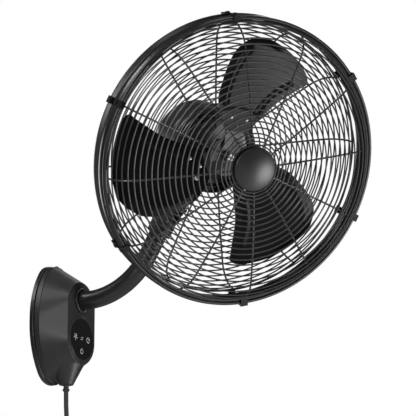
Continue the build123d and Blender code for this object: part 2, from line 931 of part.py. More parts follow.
with BuildPart() as rear_end_plate:
    extrude(disc(head_plane.offset(frame_back), frame_outer), amount=-end_plate_thickness)
    extrude(disc(head_plane.offset(frame_back), bearing_outer + bearing_boss_wall), amount=bearing_boss_depth)
    extrude(
        disc(head_plane.offset(frame_back + bearing_boss_depth), bearing_outer + seat_fit),
        amount=-bearing_width,
        mode=Mode.SUBTRACT,
    )
    extrude(
        disc(head_plane.offset(frame_back), shaft_radius + shaft_hole_gap),
        amount=-end_plate_thickness,
        mode=Mode.SUBTRACT,
    )
    motor_bolt_places = [
        (motor_bolt_circle * cos(radians(90 * k)), motor_bolt_circle * sin(radians(90 * k)))
        for k in range(4)
    ]
    extrude(
        holes(head_plane.offset(frame_back), motor_bolt_places, motor_bolt_radius + seat_fit),
        amount=-end_plate_thickness,
        mode=Mode.SUBTRACT,
    )

front_plate_end = frame_front + end_plate_thickness
cover_post_length = front_cover_front - cover_wall - front_plate_end
cover_post_places = [
    (cover_post_circle * cos(radians(45 + 90 * k)), cover_post_circle * sin(radians(45 + 90 * k)))
    for k in range(4)
]

with BuildPart() as front_end_plate:
    extrude(disc(head_plane.offset(frame_front), frame_outer), amount=end_plate_thickness)
    extrude(
        disc(head_plane.offset(frame_front), bearing_outer + bearing_boss_wall), amount=-bearing_boss_depth
    )
    extrude(
        holes(head_plane.offset(front_plate_end), cover_post_places, cover_post_radius),
        amount=cover_post_length,
    )
    extrude(
        disc(head_plane.offset(frame_front - bearing_boss_depth), bearing_outer + seat_fit),
        amount=bearing_width,
        mode=Mode.SUBTRACT,
    )
    extrude(
        disc(head_plane.offset(frame_front), shaft_radius + shaft_hole_gap),
        amount=end_plate_thickness,
        mode=Mode.SUBTRACT,
    )
    extrude(
        holes(head_plane.offset(frame_front), motor_bolt_places, motor_bolt_radius + seat_fit),
        amount=end_plate_thickness,
        mode=Mode.SUBTRACT,
    )
    extrude(
        holes(
            head_plane.offset(front_plate_end + cover_post_length), cover_post_places, grille_screw_radius
        ),
        amount=-cover_post_thread,
        mode=Mode.SUBTRACT,
    )

with BuildPart() as motor_bearings:
    extrude(
        disc(head_plane.offset(frame_back + bearing_boss_depth), bearing_outer, shaft_radius + running_fit),
        amount=-bearing_width,
    )
    extrude(
        disc(head_plane.offset(frame_front - bearing_boss_depth), bearing_outer, shaft_radius + running_fit),
        amount=bearing_width,
    )

with BuildPart() as stator_core:
    extrude(
        disc(head_plane.offset(stator_back), frame_inner - seat_fit, stator_inner),
        amount=stator_front - stator_back,
    )
    extrude(
        holes(head_plane.offset(stator_back), motor_bolt_places, motor_bolt_radius + seat_fit),
        amount=stator_front - stator_back,
        mode=Mode.SUBTRACT,
    )

with BuildPart() as stator_windings:
    for start, direction in ((stator_front, 1), (stator_back, -1)):
        extrude(
            disc(head_plane.offset(start), winding_outer, winding_inner), amount=direction * winding_depth
        )
    fillet(stator_windings.edges().group_by(head_axis)[-1], radius=winding_round)
    fillet(stator_windings.edges().group_by(head_axis)[0], radius=winding_round)

with BuildPart() as motor_bolts:
    extrude(
        holes(head_plane.offset(frame_back - end_plate_thickness), motor_bolt_places, motor_bolt_radius),
        amount=frame_length + 2 * end_plate_thickness,
    )
    extrude(
        holes(
            head_plane.offset(frame_back - end_plate_thickness),
            motor_bolt_places,
            motor_bolt_radius * screw_head_ratio,
        ),
        amount=-motor_bolt_head,
    )

rear_cover_back = cover_seam - rear_cover_depth


def cover_profile(outer, back, front, round_radius):
    """Half section of a bowl, filled to the axis, rounded where its side meets its end."""
    with BuildSketch(head_profile) as section:
        with BuildLine():
            Polyline((0, front), (outer, front), (outer, back), (0, back), close=True)
        make_face()
        corner = section.vertices().sort_by_distance(head_profile.from_local_coords((outer, back)))[0]
        fillet(corner, radius=round_radius)
    return section.sketch


with BuildPart() as motor_rear_cover:
    revolve(cover_profile(rear_cover_radius, rear_cover_back, cover_seam, cover_round), axis=head_axis)
    revolve(
        cover_profile(rear_cover_radius - cover_wall, rear_cover_back + cover_wall, cover_seam,
                      cover_round - cover_wall),
        axis=head_axis,
        mode=Mode.SUBTRACT,
    )
    extrude(
        gearbox_face(swivel_level(frame_start), gearbox_radius + gearbox_clearance,
                     gearbox_rear + gearbox_clearance, osc_at),
        amount=head_at - frame_start - cover_cut_end,
        mode=Mode.SUBTRACT,
    )

with BuildPart() as motor_front_cover:
    revolve(
        cover_profile(front_cover_radius, front_cover_front, cover_seam, front_cover_round), axis=head_axis
    )
    revolve(
        cover_profile(front_cover_radius - cover_wall, front_cover_front - cover_wall, cover_seam,
                      front_cover_round - cover_wall),
        axis=head_axis,
        mode=Mode.SUBTRACT,
    )
    extrude(
        disc(head_plane.offset(front_cover_front - cover_wall), hub_collar_radius + hub_opening),
        amount=cover_wall,
        mode=Mode.SUBTRACT,
    )
    extrude(
        holes(
            head_plane.offset(front_cover_front - cover_wall),
            cover_post_places,
            grille_screw_radius + hole_clearance,
        ),
        amount=cover_wall,
        mode=Mode.SUBTRACT,
    )
    extrude(
        gearbox_face(swivel_level(frame_start), gearbox_radius + gearbox_clearance,
                     gearbox_rear + gearbox_clearance, osc_at),
        amount=head_at - frame_start - cover_cut_end,
        mode=Mode.SUBTRACT,
    )

# ---------------------------------------------------------------- wire grilles
def basket_point(length, height, crown_radius, crown_angle, shoulder_radius):
    """Radius and height on a domed basket, at an arc length from its middle: a wide crown, then a
    tighter shoulder that meets it smoothly."""
    crown = radians(crown_angle)
    crown_length = crown_radius * crown
    if length <= crown_length:
        turn = length / crown_radius
        return crown_radius * sin(turn), height - crown_radius * (1 - cos(turn))
    turn = crown + (length - crown_length) / shoulder_radius
    centre_radius = (crown_radius - shoulder_radius) * sin(crown)
    centre_height = height - crown_radius + (crown_radius - shoulder_radius) * cos(crown)
    return centre_radius + shoulder_radius * sin(turn), centre_height + shoulder_radius * cos(turn)


def basket_length(crown_radius, crown_angle, shoulder_radius, end_angle):
    """Arc length from the middle of a basket to its rim."""
    return crown_radius * radians(crown_angle) + shoulder_radius * radians(end_angle - crown_angle)


def ring_lengths(first, rim_length):
    """Arc lengths of the rings, evenly spaced at about the ring pitch, ending before the rim."""
    count = round((rim_length - first) / ring_pitch)
    return [first + (rim_length - first) * k / count for k in range(1, count)]


def grille_rings(profile, lengths, rim_length, shape):
    """All rings of a basket in one turn about the fan axis, with a thicker one at the rim."""
    with BuildPart() as rings:
        with BuildSketch(profile):
            for length in lengths:
                with Locations(basket_point(length, *shape)):
                    RegularPolygon(ring_wire, ring_wire_sides, major_radius=False)
            with Locations(basket_point(rim_length, *shape)):
                Circle(rim_wire)
        revolve(axis=head_axis)
    return rings.part


def radial_spoke(profile, start_radius, shape, end_angle):
    """One radial wire, bent along the inside of the basket's rings."""
    height, crown_radius, crown_angle, shoulder_radius = shape
    depth = ring_wire + radial_wire - weld_depth
    crown_wire = crown_radius - depth
    shoulder_wire = shoulder_radius - depth
    start_angle = degrees(asin(start_radius / crown_wire))
    crown = radians(crown_angle)
    shoulder_x = (crown_radius - shoulder_radius) * sin(crown)
    shoulder_y = height - crown_radius + (crown_radius - shoulder_radius) * cos(crown)
    with BuildPart() as spoke:
        with BuildLine(profile) as path:
            CenterArc((0, height - crown_radius), crown_wire, 90 - start_angle, start_angle - crown_angle)
            CenterArc((shoulder_x, shoulder_y), shoulder_wire, 90 - crown_angle, crown_angle - end_angle)
        route = path.wire()
        with BuildSketch(Plane(origin=route @ 0, z_dir=route % 0)):
            Circle(radial_wire)
        sweep(path=route)
    return spoke.part


def spokes_around(spoke, count):
    """The same wire turned about the fan axis."""
    return [spoke.rotate(head_axis, 360 / count * k) for k in range(count)]


front_shape = (front_crown_height, front_crown_radius, front_crown_angle, front_shoulder_radius)
rear_shape = (-rear_crown_height, rear_crown_radius, rear_crown_angle, rear_shoulder_radius)
front_rim_length = basket_length(
    front_crown_radius, front_crown_angle, front_shoulder_radius, front_end_angle
)
rear_rim_length = basket_length(rear_crown_radius, rear_crown_angle, rear_shoulder_radius, rear_end_angle)
inner_lengths = [inner_ring_length + step for step in inner_ring_steps]
front_lengths = inner_lengths + ring_lengths(inner_lengths[-1], front_rim_length)
rear_lengths = [rear_inner_length] + ring_lengths(rear_inner_length, rear_rim_length)
front_rim_radius = basket_point(front_rim_length, *front_shape)[0]
rear_rim_radius = basket_point(rear_rim_length, *rear_shape)[0]

badge_plate_at = front_crown_height - ring_wire - 2 * radial_wire - badge_plate_sunk
badge_base_at = front_crown_height + badge_lift
badge_top_at = badge_base_at + badge_rim + badge_dome
dome_radius = (badge_radius**2 + badge_dome**2) / (2 * badge_dome)
dome_angle = degrees(asin(badge_radius / dome_radius))

with BuildPart() as front_grille:
    add(grille_rings(head_profile, front_lengths, front_rim_length, front_shape))
    front_spoke = radial_spoke(profile_at(0), front_spoke_start, front_shape, front_end_angle)
    add(spokes_around(front_spoke, radial_count))
    extrude(
        disc(head_plane.offset(badge_plate_at), badge_radius, badge_stud_radius + seat_fit),
        amount=badge_plate_thickness,
    )

with BuildPart() as rear_grille:
    add(grille_rings(rear_profile, rear_lengths, rear_rim_length, rear_shape))
    rear_spoke = radial_spoke(profile_at(0, forward=-1), rear_spoke_start, rear_shape, rear_end_angle)
    add(spokes_around(rear_spoke, radial_count))
    extrude(
        disc(head_plane.offset(front_cover_front), grille_plate_radius, hub_collar_radius + hub_opening),
        amount=grille_plate_thickness,
    )
    extrude(
        holes(head_plane.offset(front_cover_front), cover_post_places, grille_screw_radius + hole_clearance),
        amount=grille_plate_thickness,
        mode=Mode.SUBTRACT,
    )

with BuildPart() as grille_screws:
    screw_base = head_plane.offset(front_cover_front + grille_plate_thickness)
    extrude(
        holes(screw_base, cover_post_places, grille_screw_radius * screw_head_ratio),
        amount=grille_screw_head,
    )
    extrude(
        holes(screw_base, cover_post_places, grille_screw_radius - thread_fit),
        amount=-(grille_plate_thickness + cover_wall + grille_screw_bite),
    )

with BuildPart() as badge_cap:
    with BuildSketch(head_profile):
        with BuildLine():
            Polyline(
                (0, badge_top_at),
                (0, badge_base_at),
                (badge_radius, badge_base_at),
                (badge_radius, badge_base_at + badge_rim),
            )
            CenterArc((0, badge_top_at - dome_radius), dome_radius, 90 - dome_angle, dome_angle)
        make_face()
    revolve(axis=head_axis)
    extrude(
        disc(head_plane.offset(badge_plate_at - badge_stud_end), badge_stud_radius),
        amount=badge_base_at - badge_plate_at + badge_stud_end,
    )

# ---------------------------------------------------------------- drum and its clips
bead_ring_radius = drum_radius + bead_proud - bead_radius
bead_at = front_lip_at - bead_radius
groove_radius = drum_radius - drum_groove
lip_end = rear_lip_at + lip_width
groove_start = lip_end + groove_lead
groove_end = groove_start + groove_width
swell_end = bead_at - swell_to_bead
neck_radius = bead_ring_radius - bead_neck


def drum_line(shrink):
    """Side of the drum from its rear lip to the front bead: lip, groove, then a rounded swell."""
    return [
        Line((drum_radius - shrink, rear_lip_at), (drum_radius - shrink, lip_end)),
        Line((drum_radius - shrink, lip_end), (groove_radius - shrink, groove_start)),
        Line((groove_radius - shrink, groove_start), (groove_radius - shrink, groove_end)),
        ThreePointArc(
            (groove_radius - shrink, groove_end),
            (drum_radius + drum_swell - shrink, (groove_end + swell_end) / 2 - swell_lead),
            (neck_radius - shrink, swell_end),
        ),
        Line((neck_radius - shrink, swell_end), (neck_radius - shrink, bead_at)),
    ]


front_clip_screw_at = bead_at - front_clip_screw_back
rear_clip_screw_at = (groove_start + groove_end) / 2
clip_angles = [360 / clip_count * k for k in range(clip_count)]


def radial_plane(angle, at):
    """Plane facing outwards from the fan axis, at an angle round it and a place along it."""
    facing = turned(head_plane.offset(at), angle)
    return Plane(origin=facing.origin, x_dir=facing.y_dir, z_dir=facing.x_dir)


with BuildPart() as shroud_ring:
    with BuildSketch(head_profile):
        with BuildLine():
            drum_line(0)
            Line((neck_radius, bead_at), (neck_radius - drum_wall, bead_at))
            drum_line(drum_wall)
            Line((drum_radius - drum_wall, rear_lip_at), (drum_radius, rear_lip_at))
        make_face()
        with Locations((bead_ring_radius, bead_at)):
            Circle(bead_radius)
    revolve(axis=head_axis)
    for clip_angle in clip_angles:
        for screw_at in (front_clip_screw_at, rear_clip_screw_at):
            extrude(
                disc(radial_plane(clip_angle, screw_at).offset(groove_radius / 2), clip_hole_radius),
                amount=groove_radius,
                mode=Mode.SUBTRACT,
            )

front_leg_radius = drum_radius + bead_proud + face_gap
rear_leg_radius = drum_radius + face_gap


def clip_shape(angle, plate_at, plate_direction, inner, leg_radius, leg_end):
    """Bent clip: a plate over the rim wire and a leg down the outside of the drum."""
    section = profile_at(0)
    with BuildPart() as clip:
        with BuildSketch(section.offset(-clip_width / 2)):
            with BuildLine():
                outer_at = plate_at + plate_direction * clip_thickness
                Polyline(
                    (inner, plate_at),
                    (leg_radius, plate_at),
                    (leg_radius, leg_end),
                    (leg_radius + clip_thickness, leg_end),
                    (leg_radius + clip_thickness, outer_at),
                    (inner, outer_at),
                    close=True,
                )
            make_face()
        extrude(amount=clip_width)
    return clip.part.rotate(head_axis, angle)


with BuildPart() as front_clips:
    for clip_angle in clip_angles:
        add(clip_shape(clip_angle, front_lip_at + face_gap, 1, front_rim_radius - clip_rim_overlap,
                       front_leg_radius, front_clip_screw_at - clip_leg_past))
        extrude(
            disc(radial_plane(clip_angle, front_clip_screw_at).offset(front_leg_radius), clip_hole_radius),
            amount=clip_thickness,
            mode=Mode.SUBTRACT,
        )

with BuildPart() as rear_clips:
    for clip_angle in clip_angles:
        add(clip_shape(clip_angle, rear_lip_at - face_gap, -1, rear_rim_radius - clip_rim_overlap,
                       rear_leg_radius, rear_clip_screw_at + clip_leg_past))
        extrude(
            disc(radial_plane(clip_angle, rear_clip_screw_at).offset(rear_leg_radius), clip_hole_radius),
            amount=clip_thickness,
            mode=Mode.SUBTRACT,
        )

clip_screw_seats = (
    (front_clip_screw_at, front_leg_radius + clip_thickness),
    (rear_clip_screw_at, rear_leg_radius + clip_thickness),
)
with BuildPart() as clip_screws:
    for clip_angle in clip_angles:
        for screw_at, seat_radius in clip_screw_seats:
            head_start = radial_plane(clip_angle, screw_at).offset(seat_radius)
            extrude(disc(head_start, clip_screw_head_radius), amount=clip_screw_head)
            extrude(
                disc(head_start, clip_screw_radius), amount=-(seat_radius - groove_radius + clip_screw_bite)
            )

# ---------------------------------------------------------------- rotor
rotor_outer = stator_inner - rotor_gap
shaft_back = frame_back - end_plate_thickness - shaft_end
shaft_front = blade_plane_at + hub_nut_height + shaft_end

with BuildPart() as motor_shaft:
    extrude(disc(head_plane.offset(shaft_back), shaft_radius), amount=shaft_front - shaft_back)

with BuildPart() as rotor_core:
    extrude(
        disc(head_plane.offset(stator_back), rotor_outer, shaft_radius + seat_fit),
        amount=stator_front - stator_back,
    )
    extrude(
        disc(
            head_plane.offset(stator_back - end_ring_length),
            rotor_outer - end_ring_inset,
            rotor_outer - end_ring_inset - end_ring_width,
        ),
        amount=stator_front - stator_back + 2 * end_ring_length,
    )


def blade_plane(angle):
    """Plane of a blade's root: x runs out along the blade, y across it, tipped by the pitch."""
    root = turned(head_plane.offset(blade_plane_at), angle)
    return tipped(root, degrees(atan2(blade_slope, 1)))


arm_flare_start = arm_plate_end - arm_flare
arm_flare_half = arm_plate_half_width - arm_flare_step
arm_rivet_places = [(57.0, 0.0), (70.5, 19.0), (70.5, -19.0)]
blade_angles = [blade_first_angle + 360 / blade_count * k for k in range(blade_count)]

with BuildPart() as hub_spider:
    extrude(disc(head_plane.offset(blade_plane_at - face_gap), hub_radius), amount=-arm_plate_thickness)
    for blade_angle in blade_angles:
        with BuildSketch(blade_plane(blade_angle).offset(-face_gap / 2)):
            with BuildLine():
                Polyline(
                    (arm_plate_start, -hub_collar_radius),
                    (arm_flare_start, -arm_flare_half),
                    (arm_plate_end, -arm_plate_half_width),
                    (arm_plate_end, arm_plate_half_width),
                    (arm_flare_start, arm_flare_half),
                    (arm_plate_start, hub_collar_radius),
                    close=True,
                )
            make_face()
        extrude(amount=-arm_plate_thickness)
    extrude(
        disc(head_plane.offset(blade_plane_at - face_gap), hub_collar_radius), amount=-hub_collar_length
    )
    extrude(
        disc(head_plane.offset(blade_plane_at - 2 * hub_collar_length), shaft_radius + seat_fit),
        amount=3 * hub_collar_length,
        mode=Mode.SUBTRACT,
    )
    extrude(
        disc(head_plane.offset(blade_plane_at - face_gap), hub_nut_radius + nut_recess_gap),
        amount=nut_recess_length,
        mode=Mode.SUBTRACT,
    )
    for blade_angle in blade_angles:
        extrude(
            holes(blade_plane(blade_angle).offset(-arm_plate_thickness - cut_over), arm_rivet_places,
                  rivet_radius + seat_fit),
            amount=arm_plate_thickness + cut_over,
            mode=Mode.SUBTRACT,
        )


def blade_section(plane, camber):
    """Thin strip across the blade: straight at the root, bowed where it has camber."""
    low, middle, high = -140.0, -25.0, 90.0
    bottom = [(t, blade_slope * t + camber * t * t) for t in (low, middle, high)]
    top = [(t, z + blade_thickness) for t, z in bottom]
    with BuildSketch(plane) as section:
        with BuildLine():
            if camber == 0:
                Line(bottom[0], bottom[2])
                Line(top[2], top[0])
            else:
                ThreePointArc(*bottom)
                ThreePointArc(top[2], top[1], top[0])
            Line(bottom[2], top[2])
            Line(top[0], bottom[0])
        make_face()
    return section.sketch


def fan_blade(angle):
    """One paddle blade: a pitched, bowed sheet cut to its rounded outline and riveted at its root."""
    frame = turned(head_plane.offset(blade_plane_at), angle)
    across = Plane(origin=frame.origin, x_dir=frame.y_dir, z_dir=frame.x_dir)
    with BuildPart() as blade:
        for out in (40.0, blade_flat_to):
            add(blade_section(across.offset(out), 0))
        loft(ruled=True)
        stations = [blade_flat_to, 120.0, 165.0, 230.0]
        for inner, outer in zip(stations, stations[1:]):
            ramp = [blade_camber * (out - blade_flat_to) / (stations[-1] - blade_flat_to)
                    for out in (inner, outer)]
            add(loft([blade_section(across.offset(inner), ramp[0]),
                      blade_section(across.offset(outer), ramp[1])], ruled=True, mode=Mode.PRIVATE))
        with BuildSketch(frame.offset(-60)):
            with BuildLine():
                Line((46, -22), (46, 22))
                Spline((46, 22), (84.8, 53), (123, 60), (182.6, 52.4), (214.8, 22.6), (221, -4),
                       (219.3, -34.7), (203.5, -78), (177.8, -115.5), (158.5, -125), (146, -112),
                       (109, -70.8), (74.6, -45), (46, -22))
            make_face()
        extrude(amount=130, mode=Mode.INTERSECT)
        extrude(
            holes(blade_plane(angle).offset(-cut_over), arm_rivet_places, rivet_radius + seat_fit),
            amount=blade_thickness + 2 * cut_over,
            mode=Mode.SUBTRACT,
        )
    return blade


blades = [fan_blade(blade_angle) for blade_angle in blade_angles]

blade_skin = blade_thickness * cos(atan2(blade_slope, 1))
with BuildPart() as blade_rivets:
    for blade_angle in blade_angles:
        rivet_top = blade_plane(blade_angle).offset(blade_skin + rivet_seat)
        extrude(holes(rivet_top, arm_rivet_places, rivet_head_radius), amount=rivet_head_height)
        extrude(
            holes(rivet_top, arm_rivet_places, rivet_radius),
            amount=-(blade_skin + arm_plate_thickness + face_gap),
        )
        rivet_tail = rivet_top.offset(-(blade_skin + arm_plate_thickness + face_gap))
        extrude(holes(rivet_tail, arm_rivet_places, rivet_tail_radius), amount=-rivet_tail_height)

with BuildPart() as hub_nut:
    with BuildSketch(head_plane.offset(blade_plane_at - face_gap)):
        RegularPolygon(hub_nut_radius, 6)
        Circle(shaft_radius + seat_fit, mode=Mode.SUBTRACT)
    extrude(amount=hub_nut_height)

# ---------------------------------------------------------------- control panel
with BuildPart() as control_lens:
    extrude(holes(wall_plane.offset(lens_back), [(0, disc_centre_z)], lens_radius), amount=lens_thickness)
    fillet(control_lens.faces().sort_by(Axis.Y)[0].edges(), radius=lens_edge_radius)

key_places = [(-key_spacing, key_row_z), (0, key_row_z), (key_spacing, key_row_z), (0, power_key_z)]
control_board_front = lens_back - spring_length

with BuildPart() as control_board:
    extrude(
        holes(wall_plane.offset(control_board_front - board_thickness), [(0, disc_centre_z)],
              board_radius),
        amount=board_thickness,
    )
    with BuildSketch(wall_plane.offset(control_board_front - board_thickness)):
        with Locations((0, disc_centre_z - spring_length)):
            Rectangle(board_chip, board_chip)
    extrude(amount=-board_chip_height)

with BuildPart() as touch_springs:
    extrude(holes(wall_plane.offset(control_board_front), key_places, spring_radius), amount=spring_length)
    extrude(
        holes(wall_plane.offset(control_board_front), key_places, spring_radius - spring_wall),
        amount=spring_length,
        mode=Mode.SUBTRACT,
    )

with BuildPart() as power_board:
    with BuildSketch(wall_plane.offset(power_board_out)):
        with Locations((0, power_board_z)):
            Rectangle(power_board_width, power_board_height)
    extrude(amount=board_thickness)
    with BuildSketch(wall_plane.offset(power_board_out + board_thickness)):
        with Locations(*[(relay_step * k, power_board_z + relay_up) for k in (-1, 0, 1)]):
            Rectangle(relay_width, relay_height)
        with Locations((-transformer_across, power_board_z - transformer_down)):
            Rectangle(transformer_width, transformer_height)
    extrude(amount=board_part_height)

with BuildPart() as board_standoffs:
    extrude(
        holes(wall_plane.offset(plate_thickness), board_post_places, board_post_radius),
        amount=power_board_out - plate_thickness,
    )

# ---------------------------------------------------------------- cord, coil, tie and plug
gland_collar_z = gland_bottom_z + gland_collar_up

with BuildPart() as cord_gland:
    with BuildSketch(Plane(origin=(0, -cord_out, 0), x_dir=(1, 0, 0), z_dir=(0, -1, 0))):
        with BuildLine():
            Polyline(
                (0, boss_bottom_z + gland_seat),
                (gland_neck_radius, boss_bottom_z + gland_seat),
                (gland_neck_radius, boss_bottom_z),
                (gland_waist_radius, boss_bottom_z - gland_neck_radius + gland_waist_radius),
                (gland_waist_radius, gland_collar_z + 0.5),
                (gland_collar_radius, gland_collar_z),
                (gland_collar_radius, gland_collar_z - gland_collar_height),
                (gland_tip_radius, gland_bottom_z),
                (0, gland_bottom_z),
                close=True,
            )
        make_face()
    revolve(axis=Axis((0, -cord_out, 0), (0, 0, 1)))

cord_pitch = 2 * cord_radius + coil_gap
coil_centre_z = -366.0
coil_entry_z = coil_centre_z + 2 * cord_radius
cord_points = [
    (0.0, gland_bottom_z),
    (0.0, -208.0),
    (coil_outer_radius, -290.0),
    (coil_outer_radius, coil_entry_z),
]
cord_plane = Plane(origin=(0, -cord_out, 0), x_dir=(1, 0, 0), z_dir=(0, -1, 0))


def corner_radii(points):
    """Bend radius at each inner point: 0.45 of the shorter run over the tangent of half the turn."""
    radii = []
    for before, here, after in zip(points, points[1:], points[2:]):
        into = Vector(here) - Vector(before)
        out_of = Vector(after) - Vector(here)
        turn = radians(into.get_angle(out_of))
        radii.append(0.45 * min(into.length, out_of.length) / tan(turn / 2))
    return radii


cord_radii = corner_radii(cord_points)
print("cord bend radii", [round(r, 1) for r in cord_radii])

with BuildPart() as cord_run:
    with BuildLine(cord_plane) as cord_route:
        FilletPolyline(*cord_points, radius=cord_radii)
    cord_wire = cord_route.wire()
    with BuildSketch(Plane(origin=cord_wire @ 0, z_dir=cord_wire % 0)):
        Circle(cord_radius)
    sweep(path=cord_wire)

cord_section = pi * cord_radius**2
print("cord run volume", round(cord_run.part.volume), "section times length",
      round(cord_section * cord_wire.length), "length", round(cord_wire.length))


heart_step = 0.55 * cord_pitch   # extra room round the half turn that steps between the layers
heart_x = coil_outer_radius - coil_turns * cord_pitch


def coil_stops():
    """Where the half turns meet the plane's x axis, each with its layer: inwards on the front
    layer, across, and outwards on the rear one, the last one wider so that the plug hangs clear."""
    inward = [((-1) ** k * (coil_outer_radius - cord_pitch * (k // 2)), 0) for k in range(2 * coil_turns)]
    across = [(heart_x - heart_step, 0), (heart_step - heart_x - cord_pitch, 1)]
    outward = []
    for turn in range(coil_turns - 1):
        outward.append((heart_x + cord_pitch * turn, 1))
        outward.append((-heart_x - cord_pitch * (turn + 2), 1))
    return inward + across + outward + [(coil_outer_radius + cord_pitch, 1)]


def coil_half_turns(stops):
    """Start, middle and end of each half turn, alternately below and above the x axis."""
    arcs = []
    for k, ((x_a, layer_a), (x_b, layer_b)) in enumerate(zip(stops, stops[1:])):
        start = (x_a, 0, -cord_pitch * layer_a)
        end = (x_b, 0, -cord_pitch * layer_b)
        half_span = hypot(x_b - x_a, cord_pitch * (layer_b - layer_a)) / 2
        middle = ((x_a + x_b) / 2, half_span * (-1) ** (k + 1), -cord_pitch * (layer_a + layer_b) / 2)
        arcs.append((start, middle, end))
    return arcs


coil_plane = Plane(origin=(0, -cord_out, coil_centre_z), x_dir=(1, 0, 0), z_dir=(0, -1, 0))
coil_arcs = coil_half_turns(coil_stops())
coil_lead = 2 * cord_radius
coil_exit_x, coil_exit_y, coil_exit_layer = coil_arcs[-1][2]

with BuildPart() as cord_coil:
    with BuildLine(coil_plane) as coil_line:
        Line((coil_outer_radius, coil_lead, 0), (coil_outer_radius, 0, 0))
        for start, middle, end in coil_arcs:
            ThreePointArc(start, middle, end)
        Line((coil_exit_x, coil_exit_y, coil_exit_layer), (coil_exit_x, -coil_lead, coil_exit_layer))
    coil_wire = coil_line.wire()
    with BuildSketch(Plane(origin=coil_wire @ 0, z_dir=coil_wire % 0)):
        Circle(cord_radius)
    sweep(path=coil_wire)

coil_samples = [coil_wire @ (k / 800) for k in range(801)]
least_reach = round(3 * cord_pitch / (coil_wire.length / 800))
coil_spans = [
    (coil_samples[a] - coil_samples[b]).length for a in range(801) for b in range(a + least_reach, 801)
]
print("coil least gap to itself", round(min(coil_spans) - 2 * cord_radius, 2))
print("coil volume", round(cord_coil.part.volume), "section times length",
      round(cord_section * coil_wire.length), "length", round(coil_wire.length))

bundle_inner_x = heart_step - heart_x - cord_pitch + cord_radius + tie_clear
bundle_outer_x = -coil_outer_radius - cord_radius - tie_clear
bundle_depth = cord_pitch + 2 * cord_radius + 2 * tie_clear

with BuildPart() as cord_tie:
    with BuildSketch(Plane(origin=(0, -cord_out, coil_centre_z - tie_height / 2))):
        with Locations(((bundle_inner_x + bundle_outer_x) / 2, cord_pitch / 2)):
            RectangleRounded(bundle_inner_x - bundle_outer_x + 2 * tie_wall,
                             bundle_depth + 2 * tie_wall, tie_corner + tie_wall)
            RectangleRounded(bundle_inner_x - bundle_outer_x, bundle_depth, tie_corner, mode=Mode.SUBTRACT)
    extrude(amount=tie_height)

plug_top_z = coil_centre_z - coil_lead
plug_plane = Plane(
    origin=(coil_exit_x, -cord_out - coil_exit_layer, plug_top_z), x_dir=(1, 0, 0), z_dir=(0, 0, -1)
)

pin_end = relief_length + plug_length + pin_length


def pin_face(plane):
    """Sections of the two flat pins."""
    with BuildSketch(plane) as face:
        with Locations((-pin_spacing / 2, 0), (pin_spacing / 2, 0)):
            Rectangle(pin_thickness, pin_width)
    return face.sketch


with BuildPart() as plug_body:
    extrude(disc(plug_plane, relief_radius), amount=relief_length + relief_sunk, taper=-3)
    for rib in range(relief_ribs):
        rib_plane = plug_plane.offset(relief_rib_start + relief_rib_step * rib)
        extrude(
            disc(rib_plane, relief_radius + relief_rib_rise + relief_rib_growth * rib),
            amount=relief_rib_width,
        )
    with BuildSketch(plug_plane.offset(relief_length)):
        RectangleRounded(plug_width, plug_depth, plug_corner)
    extrude(amount=plug_length)
    fillet(plug_body.faces().sort_by(Axis.Z)[0].edges(), radius=plug_edge_radius)
    extrude(
        pin_face(plug_plane.offset(relief_length + plug_length - pin_seat)),
        amount=pin_seat,
        mode=Mode.SUBTRACT,
    )

with BuildPart() as plug_pins:
    extrude(
        pin_face(plug_plane.offset(relief_length + plug_length - pin_seat)), amount=pin_seat + pin_length
    )
    pin_hole_plane = Plane(
        origin=plug_plane.from_local_coords((-plug_width, 0, pin_end - pin_hole_inset)),
        z_dir=(1, 0, 0),
    )
    extrude(disc(pin_hole_plane, pin_hole_radius), amount=2 * plug_width, mode=Mode.SUBTRACT)

pieces = {
    "wall_plate": wall_plate,
    "pod_housing": pod_housing,
    "housing_screws": housing_screws,
    "tube_socket": tube_socket,
    "socket_screws": socket_screws,
    "tube_collar": tube_collar,
    "arm_tube": arm_tube,
    "arm_knuckle": arm_knuckle,
    "knuckle_screw": knuckle_screw,
    "tilt_bolt": tilt_bolt,
    "tilt_knob": tilt_knob,
    "friction_washers": friction_washers,
    "control_lens": control_lens,
    "control_board": control_board,
    "touch_springs": touch_springs,
    "power_board": power_board,
    "board_standoffs": board_standoffs,
    "cord_gland": cord_gland,
    "cord_run": cord_run,
    "cord_coil": cord_coil,
    "cord_tie": cord_tie,
    "plug_body": plug_body,
    "plug_pins": plug_pins,
    "tilt_neck": tilt_neck,
    "swivel_post": swivel_post,
    "swivel_gear": swivel_gear,
    "post_circlip": post_circlip,
    "thrust_washer": thrust_washer,
    "gearbox_housing": gearbox_housing,
    "swivel_bush": swivel_bush,
    "osc_motor": osc_motor,
    "osc_pinion": osc_pinion,
    "motor_frame": motor_frame,
    "rear_end_plate": rear_end_plate,
    "front_end_plate": front_end_plate,
    "motor_bearings": motor_bearings,
    "stator_core": stator_core,
    "stator_windings": stator_windings,
    "motor_bolts": motor_bolts,
    "motor_rear_cover": motor_rear_cover,
    "motor_front_cover": motor_front_cover,
    "rear_grille": rear_grille,
    "grille_screws": grille_screws,
    "front_grille": front_grille,
    "badge_cap": badge_cap,
    "shroud_ring": shroud_ring,
    "front_clips": front_clips,
    "rear_clips": rear_clips,
    "clip_screws": clip_screws,
    "motor_shaft": motor_shaft,
    "rotor_core": rotor_core,
    "hub_spider": hub_spider,
    "blade_1": blades[0],
    "blade_2": blades[1],
    "blade_3": blades[2],
    "blade_rivets": blade_rivets,
    "hub_nut": hub_nut,
}
for label, piece in pieces.items():
    piece.part.label = label
    export_step(piece.part, f"parts/{label}.step")
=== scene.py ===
import json
import math

import bmesh
import bpy
import numpy as np
from mathutils import Matrix, Vector


